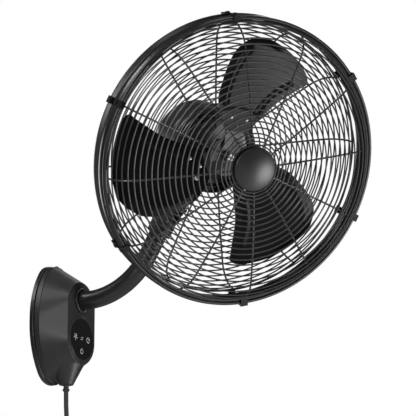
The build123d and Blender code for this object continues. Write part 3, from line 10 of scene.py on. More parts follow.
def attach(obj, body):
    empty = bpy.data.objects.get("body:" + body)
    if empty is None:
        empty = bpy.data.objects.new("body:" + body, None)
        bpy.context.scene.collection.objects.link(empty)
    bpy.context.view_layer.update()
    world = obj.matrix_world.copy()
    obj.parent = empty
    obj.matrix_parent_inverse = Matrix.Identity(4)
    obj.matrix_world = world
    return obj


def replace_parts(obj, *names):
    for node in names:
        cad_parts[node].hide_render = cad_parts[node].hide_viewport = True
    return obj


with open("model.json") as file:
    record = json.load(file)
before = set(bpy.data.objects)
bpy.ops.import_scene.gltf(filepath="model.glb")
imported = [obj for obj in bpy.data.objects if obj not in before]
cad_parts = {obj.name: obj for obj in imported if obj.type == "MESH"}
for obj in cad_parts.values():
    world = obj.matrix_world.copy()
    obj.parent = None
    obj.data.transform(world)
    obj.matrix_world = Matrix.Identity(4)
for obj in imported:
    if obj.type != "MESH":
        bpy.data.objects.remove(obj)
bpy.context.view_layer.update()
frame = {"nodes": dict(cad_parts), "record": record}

nodes = frame["nodes"]
scene = bpy.context.scene

# ---- where things are, in the part's own frame (metres, degrees) ----
place = {
    "armBendOut": 0.086,
    "armBendRadius": 0.150,
    "armAngle": 60.0,
    "tubeHeight": 0.040,
    "headAlongArm": 0.222,
    "panAtRest": 30.0,
}


def unit(v):
    return v / np.linalg.norm(v)


armTurn = math.radians(place["armAngle"])
bendEnd = np.array([
    0.0,
    -(place["armBendOut"] + place["armBendRadius"] * math.sin(armTurn)),
    place["tubeHeight"] + place["armBendRadius"] * (1 - math.cos(armTurn)),
])
armLine = np.array([0.0, -math.cos(armTurn), math.sin(armTurn)])
headPoint = bendEnd + place["headAlongArm"] * armLine
panTurn = math.radians(-place["panAtRest"])
sideways = np.array([1.0, 0.0, 0.0])
headRight = math.cos(panTurn) * sideways + math.sin(panTurn) * np.cross(armLine, sideways)
headUp = armLine
fanWay = unit(np.cross(headRight, headUp))  # out of the front grille, along the shaft


# Points on the head: radius and angle round the shaft, height along it.
def headPoints(radius, angle, height):
    x, y, z = np.broadcast_arrays(radius * np.cos(angle), radius * np.sin(angle), height)
    return headPoint + x[..., None] * headRight + y[..., None] * headUp + z[..., None] * fanWay


# Directions away from the shaft and round it, at an angle.
def spokeWays(angle):
    out = math.cos(angle) * headRight + math.sin(angle) * headUp
    side = -math.sin(angle) * headRight + math.cos(angle) * headUp
    return out, side


# ---- camera: fitted to the drum's rims, the housing and the arm ----
view = {
    "lens": 225.0,
    "sensor": 36.0,
    "place": (-3.974, -2.607, -1.008),
    "heading": 60.3,  # degrees from +Y towards +X
    "pitch": 14.6,
    "reach": 40,
}


def makeCamera():
    heading, pitch = math.radians(view["heading"]), math.radians(view["pitch"])
    level = math.cos(pitch)
    forward = Vector((math.sin(heading) * level, math.cos(heading) * level, math.sin(pitch)))
    right = Vector((math.cos(heading), -math.sin(heading), 0))
    up = right.cross(forward)
    data = bpy.data.cameras.new("photoCamera")
    data.lens = view["lens"]
    data.sensor_width = view["sensor"]
    data.clip_end = view["reach"]
    camera = bpy.data.objects.new("photoCamera", data)
    turn = Matrix((right, up, -forward)).transposed().to_4x4()
    camera.matrix_world = Matrix.Translation(view["place"]) @ turn
    scene.collection.objects.link(camera)
    scene.camera = camera


makeCamera()
print("camera placed")

# ---- finishes ----
# colour, roughness, metal, grain per metre, grain depth in metres, mottle per metre, how far it
# lightens, and gloss where it is not the usual one
finishes = {
    "satin_black_metal": ((0.009, 0.009, 0.0094), 0.30, 0.0, 900, 0.000012, 30, 0.25, 0.6),
    "wire_black": ((0.018, 0.018, 0.0185), 0.34, 0.0, 1200, 0.00003, 40, 0.25, 1.0),
    "blade_black": ((0.006, 0.006, 0.0063), 0.30, 0.0, 900, 0.00002, 20, 0.25, 0.15),
    # hub spider: black metal like the rest, given a lighter grey, half-metal colour, a painted sheen for
    # the bright reflections off the hub
    "hub_painted_sheen": ((0.055, 0.055, 0.057), 0.40, 0.5, 900, 0.00004, 30, 0.25),
    "clip_black": ((0.006, 0.006, 0.0062), 0.50, 0.0, 900, 0.00002, 30, 0.25, 0.2),
    "housing_black": ((0.018, 0.018, 0.0187), 0.40, 0.0, 1400, 0.00005, 25, 0.20),
    "cast_black": ((0.018, 0.018, 0.019), 0.45, 0.0, 600, 0.00010, 35, 0.30),
    "lens_black": ((0.008, 0.008, 0.009), 0.08, 0.0, 300, 0.00000, 10, 0.05),
    "badge_black": ((0.016, 0.016, 0.0166), 0.36, 0.0, 900, 0.00003, 30, 0.20),
    "zinc_screw": ((0.50, 0.50, 0.52), 0.35, 1.0, 1500, 0.00003, 120, 0.20),
    "black_screw": ((0.020, 0.020, 0.021), 0.35, 0.3, 1500, 0.00003, 120, 0.20),
    "steel": ((0.52, 0.52, 0.54), 0.28, 1.0, 1800, 0.00002, 90, 0.15),
    "bronze": ((0.52, 0.36, 0.18), 0.38, 1.0, 1800, 0.00002, 90, 0.20),
    "nylon": ((0.75, 0.72, 0.64), 0.50, 0.0, 800, 0.00002, 60, 0.10),
    "laminations": ((0.26, 0.26, 0.27), 0.45, 0.9, 1500, 0.00004, 90, 0.25),
    "winding": ((0.45, 0.20, 0.07), 0.35, 0.6, 1500, 0.00008, 90, 0.30),
    "board_green": ((0.03, 0.17, 0.07), 0.40, 0.0, 1200, 0.00003, 200, 0.30),
    "rubber_black": ((0.022, 0.022, 0.022), 0.55, 0.0, 1500, 0.00005, 60, 0.30),
    "brass_pin": ((0.70, 0.55, 0.28), 0.25, 1.0, 1500, 0.00001, 90, 0.15),
    "tie_black": ((0.020, 0.020, 0.020), 0.40, 0.0, 900, 0.00002, 60, 0.20),
    "icon_white": ((0.60, 0.61, 0.61), 0.45, 0.0, 1500, 0.00001, 200, 0.05),
}


texture = {
    "usualGloss": 0.5,
    "mottleDetail": 4,
    "mottleRange": (0.35, 0.70),  # of the noise, from the plain colour to the lightened one
    "roughnessSpread": (-0.05, 0.06),
    "leastRoughness": 0.02,
    "grainDetail": 2,
    "grainStrength": 0.5,
}


# Noise on Object coordinates, in patches per metre.
def addNoise(tree, where, patches, detail):
    noise = tree.nodes.new("ShaderNodeTexNoise")
    noise.inputs["Scale"].default_value = patches
    noise.inputs["Detail"].default_value = detail
    tree.links.new(where.outputs["Object"], noise.inputs["Vector"])
    return noise


# Finish: fine grain as bump, slow mottling in colour and roughness.
def makeFinish(name):
    colour, rough, metal, grain, depth, mottle, lighten, *gloss = finishes[name]
    material = bpy.data.materials.new(name)
    material.use_nodes = True
    tree = material.node_tree
    shader = tree.nodes["Principled BSDF"]
    shader.inputs["Metallic"].default_value = metal
    shader.inputs["Specular IOR Level"].default_value = gloss[0] if gloss else texture["usualGloss"]
    where = tree.nodes.new("ShaderNodeTexCoord")
    cloud = addNoise(tree, where, mottle, texture["mottleDetail"])
    ramp = tree.nodes.new("ShaderNodeValToRGB")
    plain, light = ramp.color_ramp.elements
    plain.position, light.position = texture["mottleRange"]
    plain.color = (*colour, 1)
    light.color = (*[c * (1 + lighten) for c in colour], 1)
    tree.links.new(cloud.outputs["Fac"], ramp.inputs["Fac"])
    tree.links.new(ramp.outputs["Color"], shader.inputs["Base Color"])
    below, above = texture["roughnessSpread"]
    spread = tree.nodes.new("ShaderNodeMapRange")
    spread.inputs["To Min"].default_value = max(texture["leastRoughness"], rough + below)
    spread.inputs["To Max"].default_value = rough + above
    tree.links.new(cloud.outputs["Fac"], spread.inputs["Value"])
    tree.links.new(spread.outputs["Result"], shader.inputs["Roughness"])
    if depth > 0:
        fine = addNoise(tree, where, grain, texture["grainDetail"])
        bump = tree.nodes.new("ShaderNodeBump")
        bump.inputs["Strength"].default_value = texture["grainStrength"]
        bump.inputs["Distance"].default_value = depth
        tree.links.new(fine.outputs["Fac"], bump.inputs["Height"])
        tree.links.new(bump.outputs["Normal"], shader.inputs["Normal"])
    return material


materials = {name: makeFinish(name) for name in finishes}
slotOf = {part["node"]: part["material_slot"] for part in frame["record"]["subparts"]}
# the hub spider takes the painted-sheen grey, lighter than its black metal; the clips take a duller black
ownFinish = {"hub_spider": "hub_painted_sheen", "front_clips": "clip_black", "rear_clips": "clip_black"}
for name, piece in nodes.items():
    for holder in piece.material_slots:
        holder.material = materials[ownFinish.get(name, slotOf[name])]
print("finishes set")


# ---- surfaces ----
# Quads of a grid of points, rows by columns; a closed direction joins its last line to its first.
def gridQuads(rows, columns, closeRows, closeColumns):
    r = np.arange(rows if closeRows else rows - 1)[:, None]
    c = np.arange(columns if closeColumns else columns - 1)[None, :]
    nextR, nextC = (r + 1) % rows, (c + 1) % columns
    corners = [r * columns + c, nextR * columns + c, nextR * columns + nextC, r * columns + nextC]
    return np.stack([np.broadcast_to(k, (r.size, c.size)) for k in corners], -1).reshape(-1, 4)


# Space inside a closed surface: a sixth of the sum of each triangle's corners' triple product.
def signedVolume(points, quads):
    a, b, c, d = (points[quads[:, k]] for k in range(4))
    return (np.einsum("ij,ij->", a, np.cross(b, c)) + np.einsum("ij,ij->", a, np.cross(c, d))) / 6


# One mesh object from closed surfaces (grid, closeRows, closeColumns), each turned so that its faces
# point out; points that meet at a pole are merged, and edges past the bend angle stay sharp.
def makePiece(name, surfaces, finish, body, bend=40):
    points, quads, start = [], [], 0
    for grid, closeRows, closeColumns in surfaces:
        flat = grid.reshape(-1, 3)
        faces = gridQuads(grid.shape[0], grid.shape[1], closeRows, closeColumns)
        if signedVolume(flat - flat.mean(0), faces) < 0:
            faces = faces[:, ::-1]
        points.append(flat)
        quads.append(faces + start)
        start += len(flat)
    mesh = bpy.data.meshes.new(name)
    mesh.from_pydata(np.concatenate(points).tolist(), [], np.concatenate(quads).tolist())
    work = bmesh.new()
    work.from_mesh(mesh)
    bmesh.ops.remove_doubles(work, verts=work.verts, dist=1e-7)
    work.to_mesh(mesh)
    work.free()
    mesh.shade_smooth()
    mesh.set_sharp_from_angle(angle=math.radians(bend))
    piece = bpy.data.objects.new(name, mesh)
    scene.collection.objects.link(piece)
    mesh.materials.append(materials[finish])
    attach(piece, body)
    return piece


# Tube round a path: at each point a circle spanned by the two sideways directions, with its ends
# drawn in to points so that it is closed.
def tube(path, sideA, sideB, radius, sides):
    turn = np.linspace(0, 2 * np.pi, sides, endpoint=False)
    cosine, sine = np.cos(turn)[None, :, None], np.sin(turn)[None, :, None]
    ring = cosine * sideA[:, None, :] + sine * sideB[:, None, :]
    grid = path[:, None, :] + radius * ring
    first, last = (np.repeat(point[None, None, :], sides, 1) for point in (path[0], path[-1]))
    return np.concatenate([first, grid, last], 0), False, True


# Turned surface: a closed profile of radius and height carried once round an axis.
def turnedAbout(point, along, start, profile, segments):
    angle = np.linspace(0, 2 * np.pi, segments, endpoint=False)[:, None, None]
    sideA = start
    sideB = np.cross(along, start)
    radius, height = profile[None, :, 0, None], profile[None, :, 1, None]
    grid = point + radius * (np.cos(angle) * sideA + np.sin(angle) * sideB) + height * along
    return grid, True, True


def turnedOnHead(profile, segments):
    return turnedAbout(headPoint, fanWay, headRight, profile, segments)


# Points on an arc about a centre, from one angle to another in degrees.
def arcPoints(centre, radius, start, end, count):
    turn = np.radians(np.linspace(start, end, count))
    return np.stack([centre[0] + radius * np.cos(turn), centre[1] + radius * np.sin(turn)], -1)


# Closed outline with its corners eased: each becomes a short curve that leaves its two sides a
# radius before the corner, (1-t)^2 before + 2t(1-t) corner + t^2 after. A curve takes at most the
# side share of a short side.
sideShare = 0.45


def eased(corners, radius, count=4):
    corners = np.asarray(corners, float)
    back, ahead = np.roll(corners, 1, 0) - corners, np.roll(corners, -1, 0) - corners
    backLength, aheadLength = np.linalg.norm(back, axis=1), np.linalg.norm(ahead, axis=1)
    reach = np.minimum(radius, sideShare * np.minimum(backLength, aheadLength))
    before = corners + back * (reach / backLength)[:, None]
    after = corners + ahead * (reach / aheadLength)[:, None]
    t = np.linspace(0, 1, count)[None, :, None]
    curve = ((1 - t) ** 2 * before[:, None] + 2 * t * (1 - t) * corners[:, None]
             + t ** 2 * after[:, None])
    return curve.reshape(-1, corners.shape[1])


# ---- supply cord: down from the gland, then put away in a tied coil below the picture ----
cord = {
    "radius": 0.0043,
    "out": 0.039,
    "exit": -0.127,
    "route": [(0.0, -0.127), (0.0, -0.208), (0.056, -0.290), (0.056, -0.3574)],  # x and height
    "coilHeight": -0.366,
    "coilRadius": 0.056,
    "pitch": 0.0093,
    "turns": 3,  # in each of the two layers
    "crossing": 0.55,  # of a pitch, either side of where the coil changes layer
    "pointsInHalfTurn": 10,
    "stepsBetweenPoints": 6,
    "roundness": 4,
    "length": 1.86,
}


# Where the half turns cross the coil's level, each with its layer: in on the front, out behind.
def coilStops():
    outer, pitch, turns = cord["coilRadius"], cord["pitch"], cord["turns"]
    heart, step = outer - turns * pitch, cord["crossing"] * pitch
    inward = [((-1) ** k * (outer - pitch * (k // 2)), 0) for k in range(2 * turns)]
    across = [(heart - step, 0), (step - heart - pitch, 1)]
    outward = []
    for turn in range(turns - 1):
        outward += [(heart + pitch * turn, 1), (-heart - pitch * (turn + 2), 1)]
    return inward + across + outward + [(outer + pitch, 1)]


# Half turns as half circles between the stops, alternately below and above, moving back with the layer.
def coilPoints():
    points = []
    stops = coilStops()
    turn = np.linspace(0, np.pi, cord["pointsInHalfTurn"], endpoint=False)
    for k, ((a, layerA), (b, layerB)) in enumerate(zip(stops, stops[1:])):
        reach = math.hypot(b - a, cord["pitch"] * (layerB - layerA)) / 2
        share = (1 - np.cos(turn)) / 2
        x = a + (b - a) * share
        up = reach * np.sin(turn) * (-1) ** (k + 1)
        back = cord["pitch"] * (layerA + (layerB - layerA) * share)
        points += [(px, -cord["out"] + pb, cord["coilHeight"] + pz) for px, pb, pz in zip(x, back, up)]
    last, layer = stops[-1]
    end = -cord["out"] + cord["pitch"] * layer
    lead = 2 * cord["radius"]
    return points + [(last, end, cord["coilHeight"]), (last, end, cord["coilHeight"] - lead)]


def makeCord():
    route = [(x, -cord["out"], z) for x, z in cord["route"]] + coilPoints()
    data = bpy.data.curves.new("supplyCord", "CURVE")
    data.dimensions = "3D"
    data.resolution_u = cord["stepsBetweenPoints"]
    data.bevel_depth = cord["radius"]
    data.bevel_resolution = cord["roundness"]
    data.use_fill_caps = True
    line = data.splines.new("NURBS")
    line.points.add(len(route) - 1)
    for spot, point in zip(line.points, route):
        spot.co = (*point, 1)
    line.order_u = 3
    line.use_endpoint_u = True
    flex = bpy.data.objects.new("supplyCord", data)
    scene.collection.objects.link(flex)
    data.materials.append(materials["rubber_black"])
    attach(flex, "wall_side")
    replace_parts(flex, "cord_run", "cord_coil")


makeCord()
print("cord laid")

# ---- studio: pale floor, white surround, soft lamps ----
studio = {
    "floorHeight": -1.6,
    "floorSize": 9.0,
    "floorColour": (0.75, 0.75, 0.75, 1),
    "floorRoughness": 0.7,
    "floorGlow": (0.70, 0.70, 0.70, 1),  # what the camera sees of it besides the lamps' light
    "surround": 0.055,
    "aim": (0, -0.25, 0.2),
    "lamps": [
        # name, place, size, strength in watts
        ("leftBank", (-3.4, -0.7, 0.1), 1.3, 38),
        ("lowRight", (0.75, -2.65, -0.95), 1.5, 54),
        ("highLeft", (-2.8, -2.4, 1.9), 0.9, 8),
        ("leftRear", (-1.75, 0.95, 2.0), 1.0, 30),
        ("rightRim", (1.9, -0.3, 2.2), 1.0, 22),
        ("topBank", (-0.3, -1.0, 2.9), 0.9, 12),
        ("rearFill", (1.2, 3.2, 0.8), 1.6, 24),
    ],
}


def makeFloor():
    half = studio["floorSize"] / 2
    height = studio["floorHeight"]
    mesh = bpy.data.meshes.new("floor")
    corners = [(x, y, height) for x, y in ((-half, -half), (half, -half), (half, half), (-half, half))]
    mesh.from_pydata(corners, [], [(0, 1, 2, 3)])
    floor = bpy.data.objects.new("floor", mesh)
    scene.collection.objects.link(floor)
    material = bpy.data.materials.new("floorPaint")
    material.use_nodes = True
    shader = material.node_tree.nodes["Principled BSDF"]
    shader.inputs["Base Color"].default_value = studio["floorColour"]
    shader.inputs["Roughness"].default_value = studio["floorRoughness"]
    shader.inputs["Emission Color"].default_value = studio["floorGlow"]
    seen = material.node_tree.nodes.new("ShaderNodeLightPath")
    material.node_tree.links.new(seen.outputs["Is Camera Ray"], shader.inputs["Emission Strength"])
    mesh.materials.append(material)


def addBackground(tree, strength):
    background = tree.nodes.new("ShaderNodeBackground")
    background.inputs["Color"].default_value = (1, 1, 1, 1)
    background.inputs["Strength"].default_value = strength
    return background


# Surround: white to the camera, faint as light.
def makeSurround():
    world = bpy.data.worlds.new("surround")
    scene.world = world
    world.use_nodes = True
    tree = world.node_tree
    tree.nodes.clear()
    out = tree.nodes.new("ShaderNodeOutputWorld")
    soft = addBackground(tree, studio["surround"])
    white = addBackground(tree, 1)
    path = tree.nodes.new("ShaderNodeLightPath")
    mix = tree.nodes.new("ShaderNodeMixShader")
    tree.links.new(path.outputs["Is Camera Ray"], mix.inputs[0])
    tree.links.new(soft.outputs[0], mix.inputs[1])
    tree.links.new(white.outputs[0], mix.inputs[2])
    tree.links.new(mix.outputs[0], out.inputs["Surface"])


def hangLamps():
    target = Vector(studio["aim"])
    for name, spot, size, power in studio["lamps"]:
        data = bpy.data.lights.new(name, "AREA")
        data.shape = "DISK"
        data.size = size
        data.energy = power
        lamp = bpy.data.objects.new(name, data)
        lamp.location = spot
        lamp.rotation_euler = (target - Vector(spot)).to_track_quat("-Z", "Y").to_euler()
        scene.collection.objects.link(lamp)


makeFloor()
makeSurround()
hangLamps()
scene.view_settings.view_transform = "Standard"
print("studio lit")

# ---- wire grilles ----
grilles = {
    "ringWire": 0.0014,
    "radialWire": 0.0017,
    "rimWire": 0.0022,
    "weld": 0.0004,
    "ringPitch": 0.0104,
    "radialCount": 12,
    "front": {"height": 0.2289, "crown": 1.075, "crownAngle": 11.4, "shoulder": 0.052, "endAngle": 76.0,
              "innerRings": (0.043, 0.049, 0.0555, 0.063), "radialStart": 0.0315},
    "rear": {"height": -0.0642, "crown": 1.5, "crownAngle": 7.95, "shoulder": 0.046, "endAngle": 87.5,
             "innerRings": (0.066,), "radialStart": 0.040},
    "badgePlate": {"inner": 0.00255, "outer": 0.0395, "low": 0.2234, "high": 0.2249},
    "rearPlate": {"inner": 0.022, "outer": 0.060, "low": 0.0625, "high": 0.0665},
    "plateEase": 0.0004,
    "plateSegments": 96,
    "segments": 192,
    "sides": 8,
    "steps": 40,
}


# Basket outline, inset by a depth: a wide crown arc, then a tighter shoulder arc that meets it
# smoothly.
def basketOutline(shape, length, depth=0.0):
    crown = math.radians(shape["crownAngle"])
    crownLength = shape["crown"] * crown
    turn = np.where(length <= crownLength, length / shape["crown"],
                    crown + (length - crownLength) / shape["shoulder"])
    onCrown = length <= crownLength
    reach = np.where(onCrown, shape["crown"], shape["shoulder"]) - depth
    centre = np.where(onCrown, 0.0, shape["crown"] - shape["shoulder"])
    radius = centre * math.sin(crown) + reach * np.sin(turn)
    height = shape["height"] - shape["crown"] + centre * math.cos(crown) + reach * np.cos(turn)
    return radius, height


def basketLength(shape):
    crown = math.radians(shape["crownAngle"])
    return shape["crown"] * crown + shape["shoulder"] * (math.radians(shape["endAngle"]) - crown)


# Rings as turned circles and radial wires as tubes along the inside of the rings; forward is 1 for
# the front basket and -1 for the rear one, whose heights count backwards.
def grilleSurfaces(shape, forward):
    whole = basketLength(shape)
    first = shape["innerRings"][-1]
    count = round((whole - first) / grilles["ringPitch"])
    between = [first + (whole - first) * k / count for k in range(1, count)]
    lengths = np.array(list(shape["innerRings"]) + between + [whole])
    wires = [grilles["ringWire"]] * (len(lengths) - 1) + [grilles["rimWire"]]
    radius, height = basketOutline(shape, lengths)
    surfaces = []
    for ringRadius, ringHeight, wire in zip(radius, height, wires):
        section = arcPoints((ringRadius, forward * ringHeight), wire, 0, 360, grilles["sides"] + 1)[:-1]
        surfaces.append(turnedOnHead(section, grilles["segments"]))
    depth = grilles["ringWire"] + grilles["radialWire"] - grilles["weld"]
    lengths = np.linspace(shape["radialStart"], whole, grilles["steps"])
    radius, height = basketOutline(shape, lengths, depth)
    for k in range(grilles["radialCount"]):
        angle = 2 * np.pi * k / grilles["radialCount"]
        path = headPoints(radius, angle, forward * height)
        way = np.gradient(path, axis=0)
        side = np.repeat(spokeWays(angle)[1][None], len(path), 0)
        lift = np.cross(side, way)
        lift /= np.linalg.norm(lift, axis=1)[:, None]
        surfaces.append(tube(path, lift, side, grilles["radialWire"], grilles["sides"]))
    return surfaces


# Flat ring on the head: inner and outer radius, from one height to another.
def plateRing(plate):
    inner, outer, low, high = plate["inner"], plate["outer"], plate["low"], plate["high"]
    corners = [(inner, low), (outer, low), (outer, high), (inner, high)]
    return turnedOnHead(eased(corners, grilles["plateEase"]), grilles["plateSegments"])


def makeGrilles():
    front = grilleSurfaces(grilles["front"], 1) + [plateRing(grilles["badgePlate"])]
    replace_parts(makePiece("frontGrille", front, "wire_black", "head"), "front_grille")
    rear = grilleSurfaces(grilles["rear"], -1) + [plateRing(grilles["rearPlate"])]
    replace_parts(makePiece("rearGrille", rear, "wire_black", "head"), "rear_grille")


makeGrilles()
print("grilles wired")

# ---- drum ----
drum = {
    "radius": 0.260,
    "rearLip": 0.120,
    "lipWidth": 0.004,
    "groove": (0.254, 0.127, 0.137),  # radius, start, end
    "swell": (0.2615, 0.14875),
    "neck": (0.2575, 0.1645),
    "bead": (0.2585, 0.1685, 0.0035),  # ring radius, place along the shaft, bead radius
    "wall": 0.0018,
    "ease": 0.0006,
    "easeSteps": 3,
    "swellSteps": 17,
    "rollSteps": 25,
    "segments": 300,
}


# Arc through three points, by its centre.
def arcThrough(a, b, c, count):
    (ax, ay), (bx, by), (cx, cy) = a, b, c
    d = 2 * (ax * (by - cy) + bx * (cy - ay) + cx * (ay - by))
    sa, sb, sc = ax * ax + ay * ay, bx * bx + by * by, cx * cx + cy * cy
    centre = ((sa * (by - cy) + sb * (cy - ay) + sc * (ay - by)) / d,
              (sa * (cx - bx) + sb * (ax - cx) + sc * (bx - ax)) / d)
    radius = math.hypot(ax - centre[0], ay - centre[1])
    start = math.degrees(math.atan2(ay - centre[1], ax - centre[0]))
    end = math.degrees(math.atan2(cy - centre[1], cx - centre[0]))
    return arcPoints(centre, radius, start, end, count)


# Side of the drum from rear lip to front bead, drawn inwards by a wall.
def drumSide(shrink):
    groove, start, end = drum["groove"]
    neck, neckAt = drum["neck"]
    lip = drum["radius"] - shrink
    swell = arcThrough((groove - shrink, end), (drum["swell"][0] - shrink, drum["swell"][1]),
                       (neck - shrink, neckAt), drum["swellSteps"])
    lipEnd = drum["rearLip"] + drum["lipWidth"]
    straight = [(lip, drum["rearLip"]), (lip, lipEnd), (groove - shrink, start)]
    return np.concatenate([np.array(straight), swell])


def makeDrum():
    bead, beadAt, beadRadius = drum["bead"]
    outer, inner = drumSide(0), drumSide(drum["wall"])
    toBead = math.degrees(math.acos((drum["neck"][0] - bead) / beadRadius))
    fromBead = math.degrees(math.acos((drum["neck"][0] - drum["wall"] - bead) / beadRadius))
    roll = arcPoints((bead, beadAt), beadRadius, -toBead, 360 - fromBead, drum["rollSteps"])
    corners = np.concatenate([outer, roll, inner[::-1]])
    profile = eased(corners, drum["ease"], drum["easeSteps"])
    surface = turnedOnHead(profile, drum["segments"])
    piece = makePiece("drumShroud", [surface], "satin_black_metal", "head")
    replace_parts(piece, "shroud_ring")


makeDrum()
print("drum rolled")

# ---- rotor ----
rotor = {
    "plane": 0.118,
    "firstAngle": 101.0,
    "count": 3,
    "slope": 0.30,
    "camber": 1.25,  # per metre at the tip
    "camberFrom": 0.084,
    "camberTo": 0.230,
    "thickness": 0.0015,
    # outline along and across the blade, from the root round the tip and back
    "outline": [(0.046, -0.022), (0.046, 0.022), (0.0848, 0.053), (0.123, 0.060), (0.1826, 0.0524),
                (0.2148, 0.0226), (0.221, -0.004), (0.2193, -0.0347), (0.2035, -0.078), (0.1778, -0.1155),
                (0.1585, -0.125), (0.146, -0.112), (0.109, -0.0708), (0.0746, -0.045)],
    "middle": (0.135, -0.020),
    # pressed ribs: start, middle and end of a curve, half width, height
    "ribs": [((0.095, 0.042), (0.150, 0.041), (0.196, 0.020), 0.0085, 0.0021),
             ((0.090, -0.034), (0.122, -0.055), (0.150, -0.090), 0.0085, 0.0021)],
    # edge folded back outside a crease: width, fall per metre, where it fades in along and across
    "fold": (0.0125, 0.42, (0.074, 0.098), (-0.060, -0.030)),
    "rootStep": (0.088, 0.005, 0.0022),  # radius, width and height of the crease beyond the rivets
    "outlineSteps": 18,  # between two points of the outline
    "faceSteps": 56,  # from the middle of a face to its edge
}
rivet = {
    "places": [(0.057, 0.0), (0.0705, 0.019), (0.0705, -0.019)],  # along and across the blade
    "head": 0.0040,
    "rise": 0.0018,
    "shoulder": (0.62, 0.72),  # a point of the dome, in shares of the head and the rise
    "rim": 0.0002,
    "shank": 0.0020,
    "grip": 0.0029,  # how far the shank reaches below the blade
    "tailInset": (0.0008, 0.0010),
    "tailDepth": (0.0012, 0.0014),
    "lift": 0.00005,
    "domeSteps": 9,
    "segments": 24,
}


# Smooth closed line through the points: Catmull-Rom, four points to a span.
def smoothLine(points, perSpan, straight=(0,)):
    p = np.asarray(points, float)
    before, ahead, next2 = np.roll(p, 1, 0), np.roll(p, -1, 0), np.roll(p, -2, 0)
    t = np.linspace(0, 1, perSpan, endpoint=False)[None, :, None]
    a, b, c, d = before[:, None], p[:, None], ahead[:, None], next2[:, None]
    curve = 0.5 * (2 * b + (c - a) * t + (2 * a - 5 * b + 4 * c - d) * t ** 2
                   + (3 * b - a - 3 * c + d) * t ** 3)
    for span in straight:
        curve[span] = b[span] + (c[span] - b[span]) * t[0]
    return curve.reshape(-1, 2)


# Least distance to the chords of the rib's arc.
def ribDistance(along, across, start, middle, end):
    line = arcThrough(start, middle, end, 9)
    away = np.full(along.shape, np.inf)
    for (ax, ay), (bx, by) in zip(line, line[1:]):
        length = math.hypot(bx - ax, by - ay)
        ux, uy = (bx - ax) / length, (by - ay) / length
        share = np.clip((along - ax) * ux + (across - ay) * uy, 0, length)
        away = np.minimum(away, np.hypot(along - ax - share * ux, across - ay - share * uy))
    return away


# Height of the blade's rear face: pitch times t, a bow that grows with the radius times t squared,
# and the pressed ribs and root crease, each a soft step of the distance to its line.
def bladeHeight(along, across):
    grow = np.clip((along - rotor["camberFrom"]) / (rotor["camberTo"] - rotor["camberFrom"]), 0, None)
    height = rotor["slope"] * across + rotor["camber"] * grow * across ** 2
    for start, middle, end, half, rise in rotor["ribs"]:
        soft = np.clip(1 - ribDistance(along, across, start, middle, end) / half, 0, 1)
        height = height + rise * soft * soft * (3 - 2 * soft)
    radius, width, rise = rotor["rootStep"]
    soft = np.clip((np.hypot(along, across) - radius) / width, 0, 1)
    return height + rise * soft * soft * (3 - 2 * soft)


# How far the folded edge lies back: a fall that grows evenly from the crease to the outline.
def foldDepth(along, across, fromEdge):
    width, fall, (startAlong, fullAlong), (startAcross, fullAcross) = rotor["fold"]
    fadeAlong = np.clip((along - startAlong) / (fullAlong - startAlong), 0, 1)
    fadeAcross = np.clip((across - startAcross) / (fullAcross - startAcross), 0, 1)
    return fall * np.clip(width - fromEdge, 0, None) * fadeAlong * fadeAcross


# Blade skin: rows run round the outline, columns from the middle of one face over the edge to the
# middle of the other.
def bladeSurface(angle):
    outline = smoothLine(rotor["outline"], rotor["outlineSteps"])
    middle = np.array(rotor["middle"])
    steps = rotor["faceSteps"]
    share = np.sin(np.linspace(0, np.pi / 2, steps))
    inward = np.concatenate([share, share[::-1]])
    face = np.concatenate([np.ones(steps), np.zeros(steps)])
    flat = middle + (outline - middle)[:, None, :] * inward[None, :, None]
    along, across = flat[..., 0], flat[..., 1]
    fromEdge = np.linalg.norm(outline - middle, axis=1)[:, None] * (1 - inward[None, :])
    height = rotor["plane"] + bladeHeight(along, across) + rotor["thickness"] * face[None, :]
    height = height - foldDepth(along, across, fromEdge)
    out, side = spokeWays(angle)
    grid = headPoint + along[..., None] * out + across[..., None] * side + height[..., None] * fanWay
    return grid, True, False


def bladeAngles():
    return [math.radians(rotor["firstAngle"] + 360 / rotor["count"] * k) for k in range(rotor["count"])]


def makeBlades():
    for k, angle in enumerate(bladeAngles()):
        piece = makePiece(f"bladeSkin{k + 1}", [bladeSurface(angle)], "blade_black", "rotor", bend=50)
        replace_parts(piece, f"blade_{k + 1}")


# Domed rivets, square to the tipped root of each blade.
def makeRivets():
    tip = math.atan(rotor["slope"])
    skin = rotor["thickness"] * math.cos(tip)
    head, shank, rise = rivet["head"], rivet["shank"], rivet["rise"]
    shoulderOut, shoulderUp = rivet["shoulder"]
    (insetA, insetB), (depthA, depthB) = rivet["tailInset"], rivet["tailDepth"]
    dome = arcThrough((0, rise), (head * shoulderOut, rise * shoulderUp), (head, rivet["rim"]),
                      rivet["domeSteps"])
    under = skin + rivet["grip"]
    tail = [(head, 0), (shank, 0), (shank, -under), (head - insetA, -under),
            (head - insetB, -under - depthA), (0, -under - depthB)]
    profile = np.concatenate([dome, np.array(tail)])
    surfaces = []
    for angle in bladeAngles():
        out, side = spokeWays(angle)
        across = math.cos(tip) * side + math.sin(tip) * fanWay
        square = np.cross(out, across)
        root = headPoint + rotor["plane"] * fanWay
        for x, y in rivet["places"]:
            seat = root + x * out + y * across + (skin + rivet["lift"]) * square
            surfaces.append(turnedAbout(seat, square, out, profile, rivet["segments"]))
    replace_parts(makePiece("bladeRivets", surfaces, "zinc_screw", "rotor"), "blade_rivets")


makeBlades()
makeRivets()
print("rotor dressed")

# ---- centre cap ----
cap = {
    "radius": 0.0395,
    "base": 0.2291,
    "rim": 0.005,
    "dome": 0.008,
    "ease": 0.0022,
    "easeSteps": 7,
    "crownShort": 2.5,  # degrees that the crown stops before its edge
    "crownSteps": 28,
    "stud": 0.0025,
    "studEnd": 0.2204,
    "segments": 128,
}


